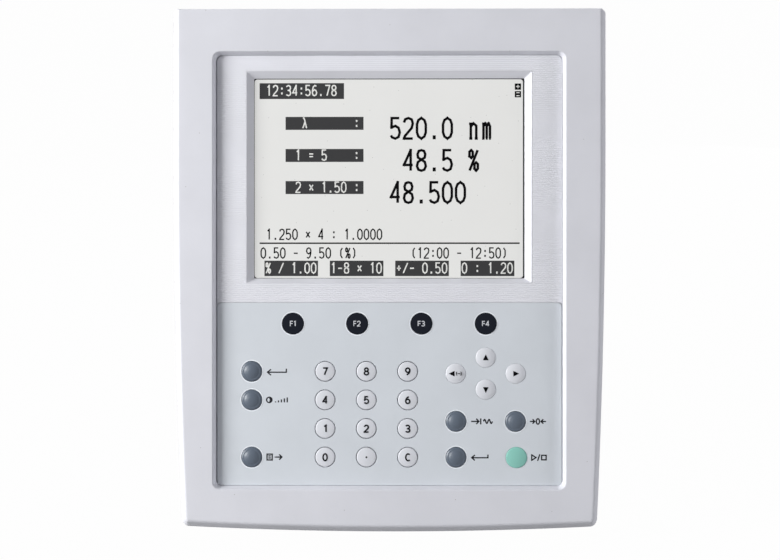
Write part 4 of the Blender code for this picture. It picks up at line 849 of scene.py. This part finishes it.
def key_words(spots, ink, white_ink):
    """Digits, one letter and function numbers on the keys."""
    glyphs = key_glyphs()
    texts = {f"key_{i}": str(i) for i in range(10)}
    texts["key_clear"] = "C"
    texts.update({f"key_f{i}": f"F{i}" for i in range(1, 5)})
    for name, text in texts.items():
        across, up, kind = spots[name]
        height, width = MARK_SIZES[kind]
        wide = [max(x for line in glyphs[mark] for x, _ in line) for mark in text]
        start = across - (sum(wide) + LETTER_GAP * (len(text) - 1)) * height / 2
        verts, faces = [], []
        for mark, share in zip(text, wide):
            for line in glyphs[mark]:
                placed = [(start + x * height, up + (y - 0.5) * height) for x, y in line]
                stroke(verts, faces, placed, width, mark_level(kind))
            start += (share + LETTER_GAP) * height
        piece(f"{name}_mark", verts, faces, white_ink if kind == "black" else ink, name)


def point_and_arrows(spots, ink, arrow_ink):
    """The point and the arrows on their keys, the left arrow beside a bracketed dash."""
    across, up, kind = spots["key_point"]
    dot = lifted(circle(POINT_RADIUS, (across, up), 24), mark_level(kind))
    piece("key_point_mark", dot, [tuple(range(24))], ink, "key_point")
    bracketed_dash = (
        arc((0.0010, 0), (0.0007, 0.0010), 125, 235, 6),
        [(0.00075, 0.0), (0.0020, 0.0)],
        arc((0.0018, 0), (0.0007, 0.0010), 55, -55, 6),
    )
    for turn, name in enumerate(("up", "left", "down", "right")):
        across, up, kind = spots[f"key_{name}"]
        level = mark_level(kind)
        shift = LEFT_ARROW_SHIFT if name == "left" else 0.0
        points, faces = [], [(0, 1, 2)]
        for x, y in ARROW:
            x, y = [(x, y), (-y, x), (-x, -y), (y, -x)][turn]
            points.append((across + shift + x, up + y, level))
        for line in bracketed_dash if name == "left" else ():
            stroke(points, faces, [(across + x, up + y) for x, y in line], 0.00034, level)
        piece(f"key_{name}_mark", points, faces, arrow_ink, f"key_{name}")


TENTH = 0.0001
LEGEND_START = 0.0064
LEGEND_WIDTH = 0.00058


def legend_strokes():
    """Signs beside the keys: lines in tenths of a millimetre from the sign's left middle."""
    wave = [(58 + 2 * i, 9 * sin(i * pi / 5)) for i in range(21)]
    page = [(4, -13), (4, 13), (27, 13), (27, -13), (4, -13)]
    bars = [[(x, -11), (x, -8 + (x - 38) * 0.34)] for x in (42, 55, 68, 81, 94)]
    return {
        "key_return": [[(90, 12), (90, -4), (6, -4)], [(22, 9), (6, -4), (22, -17)]],
        "key_contrast": [arc((14, 0), (12, 12), 0, 360, 24), arc((14, 0), (6, 6), -90, 90), *bars],
        "key_print": [page, [(10, 5), (21, 5)], [(10, -4), (21, -4)], [(38, 0), (70, 0)],
                      [(58, 12), (70, 0), (58, -12)]],
        "key_goto": [[(3, 0), (38, 0)], [(26, 12), (38, 0), (26, -12)], [(46, -13), (46, 13)], wave],
        "key_auto_zero": [[(0, 0), (22, 0)], [(12, 10), (22, 0), (12, -10)], [(72, 0), (50, 0)],
                          [(60, 10), (50, 0), (60, -10)], arc((36, 0), (7, 12), 0, 360, 20)],
        "key_enter": [[(78, 12), (78, -2), (6, -2)], [(20, 10), (6, -2), (20, -14)]],
        "key_start_stop": [[(4, -12), (4, 12), (23, 0), (4, -12)], [(30, -15), (40, 15)],
                           [(48, -10), (48, 10), (68, 10), (68, -10), (48, -10)]],
    }


def legends(spots, ink):
    """The signs printed on the sheet beside the slate keys and the green one."""
    verts, faces = [], []
    for name, lines in legend_strokes().items():
        across, up, _ = spots[name]
        for line in lines:
            moved = [(across + LEGEND_START + a * TENTH, up + b * TENTH) for a, b in line]
            stroke(verts, faces, moved, LEGEND_WIDTH, KEYPAD_FACE + 0.00002)
    piece("keypad_signs", verts, faces, ink)


REAR_WALL = Matrix(((1, 0, 0, 0), (0, 0, 1, REAR), (0, 1, 0, 0), (0, 0, 0, 1)))
COVER_SIDE = 0.0930
SIDE_SCREWS = ((-0.095, 0.021), (0.020, 0.021), (0.140, 0.021), (0.140, 0.205))
REAR_SCREWS = [(side * 0.086, up) for side in (-1, 1) for up in (0.018, 0.115, 0.211)]
REAR_SCREWS += [(0.054 + a, 0.160 + b) for a in (-0.025, 0.025) for b in (-0.025, 0.025)]
REAR_HEAD = ((0.0031, -0.0003), (0.0031, 0.00001), (0.0030, 0.00004))
REAR_SOCKET = ((0.0012, 0.00005),)
SCREW_SIDES = 24
SCREW_RADIUS = 0.0036
SCREW_RISE = 0.0015
SOCKET_DEPTH = 0.0012


def screw(verts, faces, place):
    """A button-head screw with a hexagonal socket, standing on a place's ground plane."""
    head = ((1, -0.2), (1, 0.35), (0.86, 0.80), (0.55, 1))
    profile = [(SCREW_RADIUS * share, SCREW_RISE * rise) for share, rise in head]
    rings = turned_rings(profile, (0, 0), SCREW_SIDES)
    hexagon = []
    for i in range(SCREW_SIDES):
        turn = i * 360 / SCREW_SIDES
        reach = 0.36 * SCREW_RADIUS / cos(radians(turn % 60 - 30))
        hexagon.append((reach * cos(radians(turn)), reach * sin(radians(turn))))
    rings += drawn_out(hexagon, (SCREW_RISE, SCREW_RISE - SOCKET_DEPTH))
    capped(verts, faces, carried(rings, place))


def screws(steel, dark):
    """Cover screws on both sides, and flush ones on the rear wall and round the fan's grille."""
    verts, faces = [], []
    for way in (-1, 1):
        turn = Matrix.Rotation(way * pi / 2, 4, "Y")
        for along, up in SIDE_SCREWS:
            screw(verts, faces, Matrix.Translation((way * COVER_SIDE, along, up)) @ turn)
    piece("cover_screws", verts, faces, steel, place=None)
    heads, head_faces = [], []
    sockets, socket_faces = [], []
    for across, up in REAR_SCREWS:
        place = REAR_WALL @ Matrix.Translation((across, up, 0))
        capped(heads, head_faces, carried(turned_rings(REAR_HEAD, (0, 0), 32), place))
        capped(sockets, socket_faces, carried(turned_rings(REAR_SOCKET, (0, 0), 6), place))
    piece("rear_screws", heads, head_faces, steel, place=None)
    piece("rear_screw_sockets", sockets, socket_faces, dark, place=None)


def closed_soft(points, reach):
    """A closed outline with its corners rounded over a reach."""
    return softened([points[-1], *points, points[0]], reach)[1:-1]


# Each data port: its middle, its flange's half width, and its own half widths at head and foot.
PORTS = (
    ((-0.058, 0.03625), 0.016, 0.0134, 0.0124),
    ((-0.027, 0.03625), 0.007, 0.0046, 0.0042),
)
PORT_HALF_HEIGHT = 0.0041
PORT_CORNER = 0.0016
FLANGE_LOW = 0.0293
FLANGE_HIGH = 0.0424
FLANGE_FACE = -0.00005
PIN_PITCH = 0.00274
PIN_ROWS = ((8, 0.00142), (7, -0.00142))
PIN = ((0.0005, -0.0052), (0.0005, -0.0020), (0.0002, -0.0016))


def port_outline(centre, half, foot, inset, tall=PORT_HALF_HEIGHT):
    """A port's outline, narrower at its foot, drawn in by an inset."""
    corners = [(-foot + inset, -tall + inset), (foot - inset, -tall + inset),
               (half - inset, tall - inset), (-half + inset, tall - inset)]
    return [(a + centre[0], b + centre[1]) for a, b in closed_soft(corners, PORT_CORNER - inset)]


def ports(steel, dark):
    """Flanges, shells, inserts and pins of the two data ports in the rear wall."""
    shells, shell_faces = [], []
    inserts, insert_faces = [], []
    for centre, reach, half, foot in PORTS:
        insets = (0, 0.0006, 0.0007, -0.0001)
        rim, bore, fill, hole = (port_outline(centre, half, foot, inset) for inset in insets)
        band(shells, shell_faces, drawn_out(rim, (-0.0069, -0.0006)) + drawn_out(bore, (-0.0006, -0.0062)))
        capped(inserts, insert_faces, drawn_out(fill, (-0.0069, -0.0050)))
        edge = rounded((centre[0] - reach, FLANGE_LOW), (centre[0] + reach, FLANGE_HIGH), 0.0005)
        band(shells, shell_faces, drawn_out(edge, (-0.00028, FLANGE_FACE)))
        flat_fill(shells, shell_faces, [edge, hole], FLANGE_FACE)
    wide, square = (port[0] for port in PORTS)
    tongue = port_outline(square, 0.0026, 0.0026, 0, 0.0016)
    capped(inserts, insert_faces, drawn_out(tongue, (-0.0055, -0.0012)))
    for count, up in PIN_ROWS:
        for i in range(count):
            spot = (wide[0] + (i - (count - 1) / 2) * PIN_PITCH, wide[1] + up)
            capped(shells, shell_faces, turned_rings(PIN, spot, 12))
    piece("port_shells", shells, shell_faces, steel, place=REAR_WALL)
    piece("port_inserts", inserts, insert_faces, dark, place=REAR_WALL)


# The nodes that keep their solids' meshes, by material, each with the width of its softened edges
# in tenths of a millimetre.
NODE_LOOKS = {
    "cover_paint": {"top_cover": 7},
    "lid_paint": {"sample_lid": 6},
    "chassis_metal": {"chassis": 4, "lamp_house": 4, "power_supply": 6},
    "bench_metal": {"optical_bench": 5},
    "steel": {"lid_hinge_pin": 2, "carriage_rails": 2, "carriage_screw": 2, "grating_turntable": 3,
              "filter_wheel": 2},
    "mirror_coating": {"diffraction_grating": 2, "lamp_mirror": 2},
    "lamp_glass": {"deuterium_lamp": 0, "halogen_lamp": 0},
    "black_anodised": {"sample_well": 4, "cell_carriage": 3, "detector_block": 4},
    "circuit_board": {"control_board": 2, "key_board": 2},
    "dark_plastic": {"carriage_motor": 5, "lcd_module": 4, "fan_frame": 4, "fan_rotor": 2,
                     "power_inlet": 4, "power_rocker": 4},
    "rubber": {"foot_front_left": 5, "foot_front_right": 5, "foot_rear_left": 5, "foot_rear_right": 5},
}


def dress(node, look, width):
    """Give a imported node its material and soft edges."""
    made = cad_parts[node]
    made.data.materials.clear()
    made.data.materials.append(look)
    if width:
        soften = made.modifiers.new("edges", "BEVEL")
        soften.width = width
        soften.segments = 2
        soften.limit_method = "ANGLE"
        soften.angle_limit = radians(35)
    weighted(made, keep_sharp=False)


# Lamps: their place in the panel's frame, size, power, colour, and whether they show in reflections.
LAMPS = {
    "key_lamp": ((-1.12, 0.40, 0.62), 0.6, 23.5, (1.0, 1.0, 0.99), True),
    "side_lamp": ((1.35, 0.0, 0.40), 0.5, 10.5, (0.98, 0.98, 1.0), False),
    "top_lamp": ((0.25, 1.35, -0.60), 0.9, 9.5, (1.0, 1.0, 1.0), False),
    "rear_lamp": ((0.75, 0.55, -1.45), 0.8, 9.0, (1.0, 1.0, 1.0), False),
}


def area_lamp(name, spot, size, power, colour, glints):
    """A square lamp, turned to the panel's middle from before the panel, else to the body's."""
    light = bpy.data.lights.new(name, "AREA")
    light.shape = "SQUARE"
    light.size = size
    light.energy = power
    light.color = colour
    made = bpy.data.objects.new(name, light)
    bpy.context.scene.collection.objects.link(made)
    aim = PANEL @ Vector((*CAMERA_AIM, 0)) if spot[2] > 0 else Vector(BODY_MIDDLE)
    made.location = PANEL @ Vector(spot)
    made.visible_glossy = glints
    made.rotation_euler = (aim - made.location).to_track_quat("-Z", "Y").to_euler()


def white_for_viewer(tree, shader_out, white, share):
    """Show a plain white node to the camera, mirrors and glass by a share, the shader else."""
    path = tree.nodes.new("ShaderNodeLightPath")
    seen = worked_out(tree, "MAXIMUM", path.outputs["Is Camera Ray"], path.outputs["Is Glossy Ray"])
    seen = worked_out(tree, "MAXIMUM", seen, path.outputs["Is Transmission Ray"])
    filled(white, {"Color": (1, 1, 1, 1), "Strength": 1.0})
    blend = tree.nodes.new("ShaderNodeMixShader")
    tree.links.new(worked_out(tree, "MULTIPLY", seen, share), blend.inputs["Fac"])
    tree.links.new(shader_out, blend.inputs[1])
    tree.links.new(white.outputs[0], blend.inputs[2])
    return blend.outputs[0]


def paper_floor():
    """A wide floor that is seen white and lights the object as grey paper."""
    mesh = bpy.data.meshes.new("floor")
    mesh.from_pydata([(-8, -8, 0), (8, -8, 0), (8, 12, 0), (-8, 12, 0)], [], [(0, 1, 2, 3)])
    floor = bpy.data.objects.new("floor", mesh)
    bpy.context.scene.collection.objects.link(floor)
    look, tree, shader = shader_of("floor_paper", (0.28, 0.28, 0.28), 0.9)
    grain(tree, shader, 0.002, 0.05, 0.0002)
    shown = white_for_viewer(tree, shader.outputs[0], tree.nodes.new("ShaderNodeEmission"), 0.985)
    tree.links.new(shown, tree.nodes["Material Output"].inputs["Surface"])
    mesh.materials.append(look)


def white_world():
    """A world that is seen white and gives a faint even light."""
    world = bpy.data.worlds.new("studio")
    world.use_nodes = True
    bpy.context.scene.world = world
    tree = world.node_tree
    fill = filled(tree.nodes["Background"], {"Color": (0.95, 0.97, 1.0, 1), "Strength": 0.105})
    shown = white_for_viewer(tree, fill.outputs[0], tree.nodes.new("ShaderNodeBackground"), 1.0)
    tree.links.new(shown, tree.nodes["World Output"].inputs["Surface"])


def front_camera():
    """The photograph's camera, square to the panel but for a slight turn about its upright."""
    camera = bpy.data.cameras.new("camera")
    camera.sensor_width = 36
    camera.lens = camera.sensor_width * CAMERA_DISTANCE / PHOTO_WIDTH
    camera.clip_end = 50
    eye = bpy.data.objects.new("camera", camera)
    bpy.context.scene.collection.objects.link(eye)
    aim = PANEL @ Matrix.Translation((*CAMERA_AIM, 0)) @ Matrix.Rotation(CAMERA_TURN, 4, "Y")
    eye.matrix_world = aim @ Matrix.Translation((0, 0, CAMERA_DISTANCE))
    bpy.context.scene.camera = eye
    bpy.context.scene.view_settings.view_transform = "Standard"


def main():
    """Build every piece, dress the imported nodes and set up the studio."""
    looks = all_looks()
    spots = {name: (across, up, kind) for name, across, up, kind in key_list()}
    console(looks["console_plastic"])
    ribbed_surround(looks["surround_plastic"])
    keypad(looks["keypad_sheet"])
    keys(looks)
    printed_rings(looks["painted_rim_highlight"])
    display_pane(looks["display_pane"], looks["dark_plastic"])
    display_picture(looks["display_dark_cell"], looks["display_figures"], looks["display_light_figures"])
    key_words(spots, looks["dark_ink"], looks["white_ink"])
    point_and_arrows(spots, looks["dark_ink"], looks["arrow_ink"])
    legends(spots, looks["dark_ink"])
    screws(looks["steel"], looks["dark_plastic"])
    ports(looks["steel"], looks["dark_plastic"])
    for look, widths in NODE_LOOKS.items():
        for node, width in widths.items():
            dress(node, looks[look], width * TENTH)
    paper_floor()
    white_world()
    for name, row in LAMPS.items():
        area_lamp(name, *row)
    front_camera()


main()
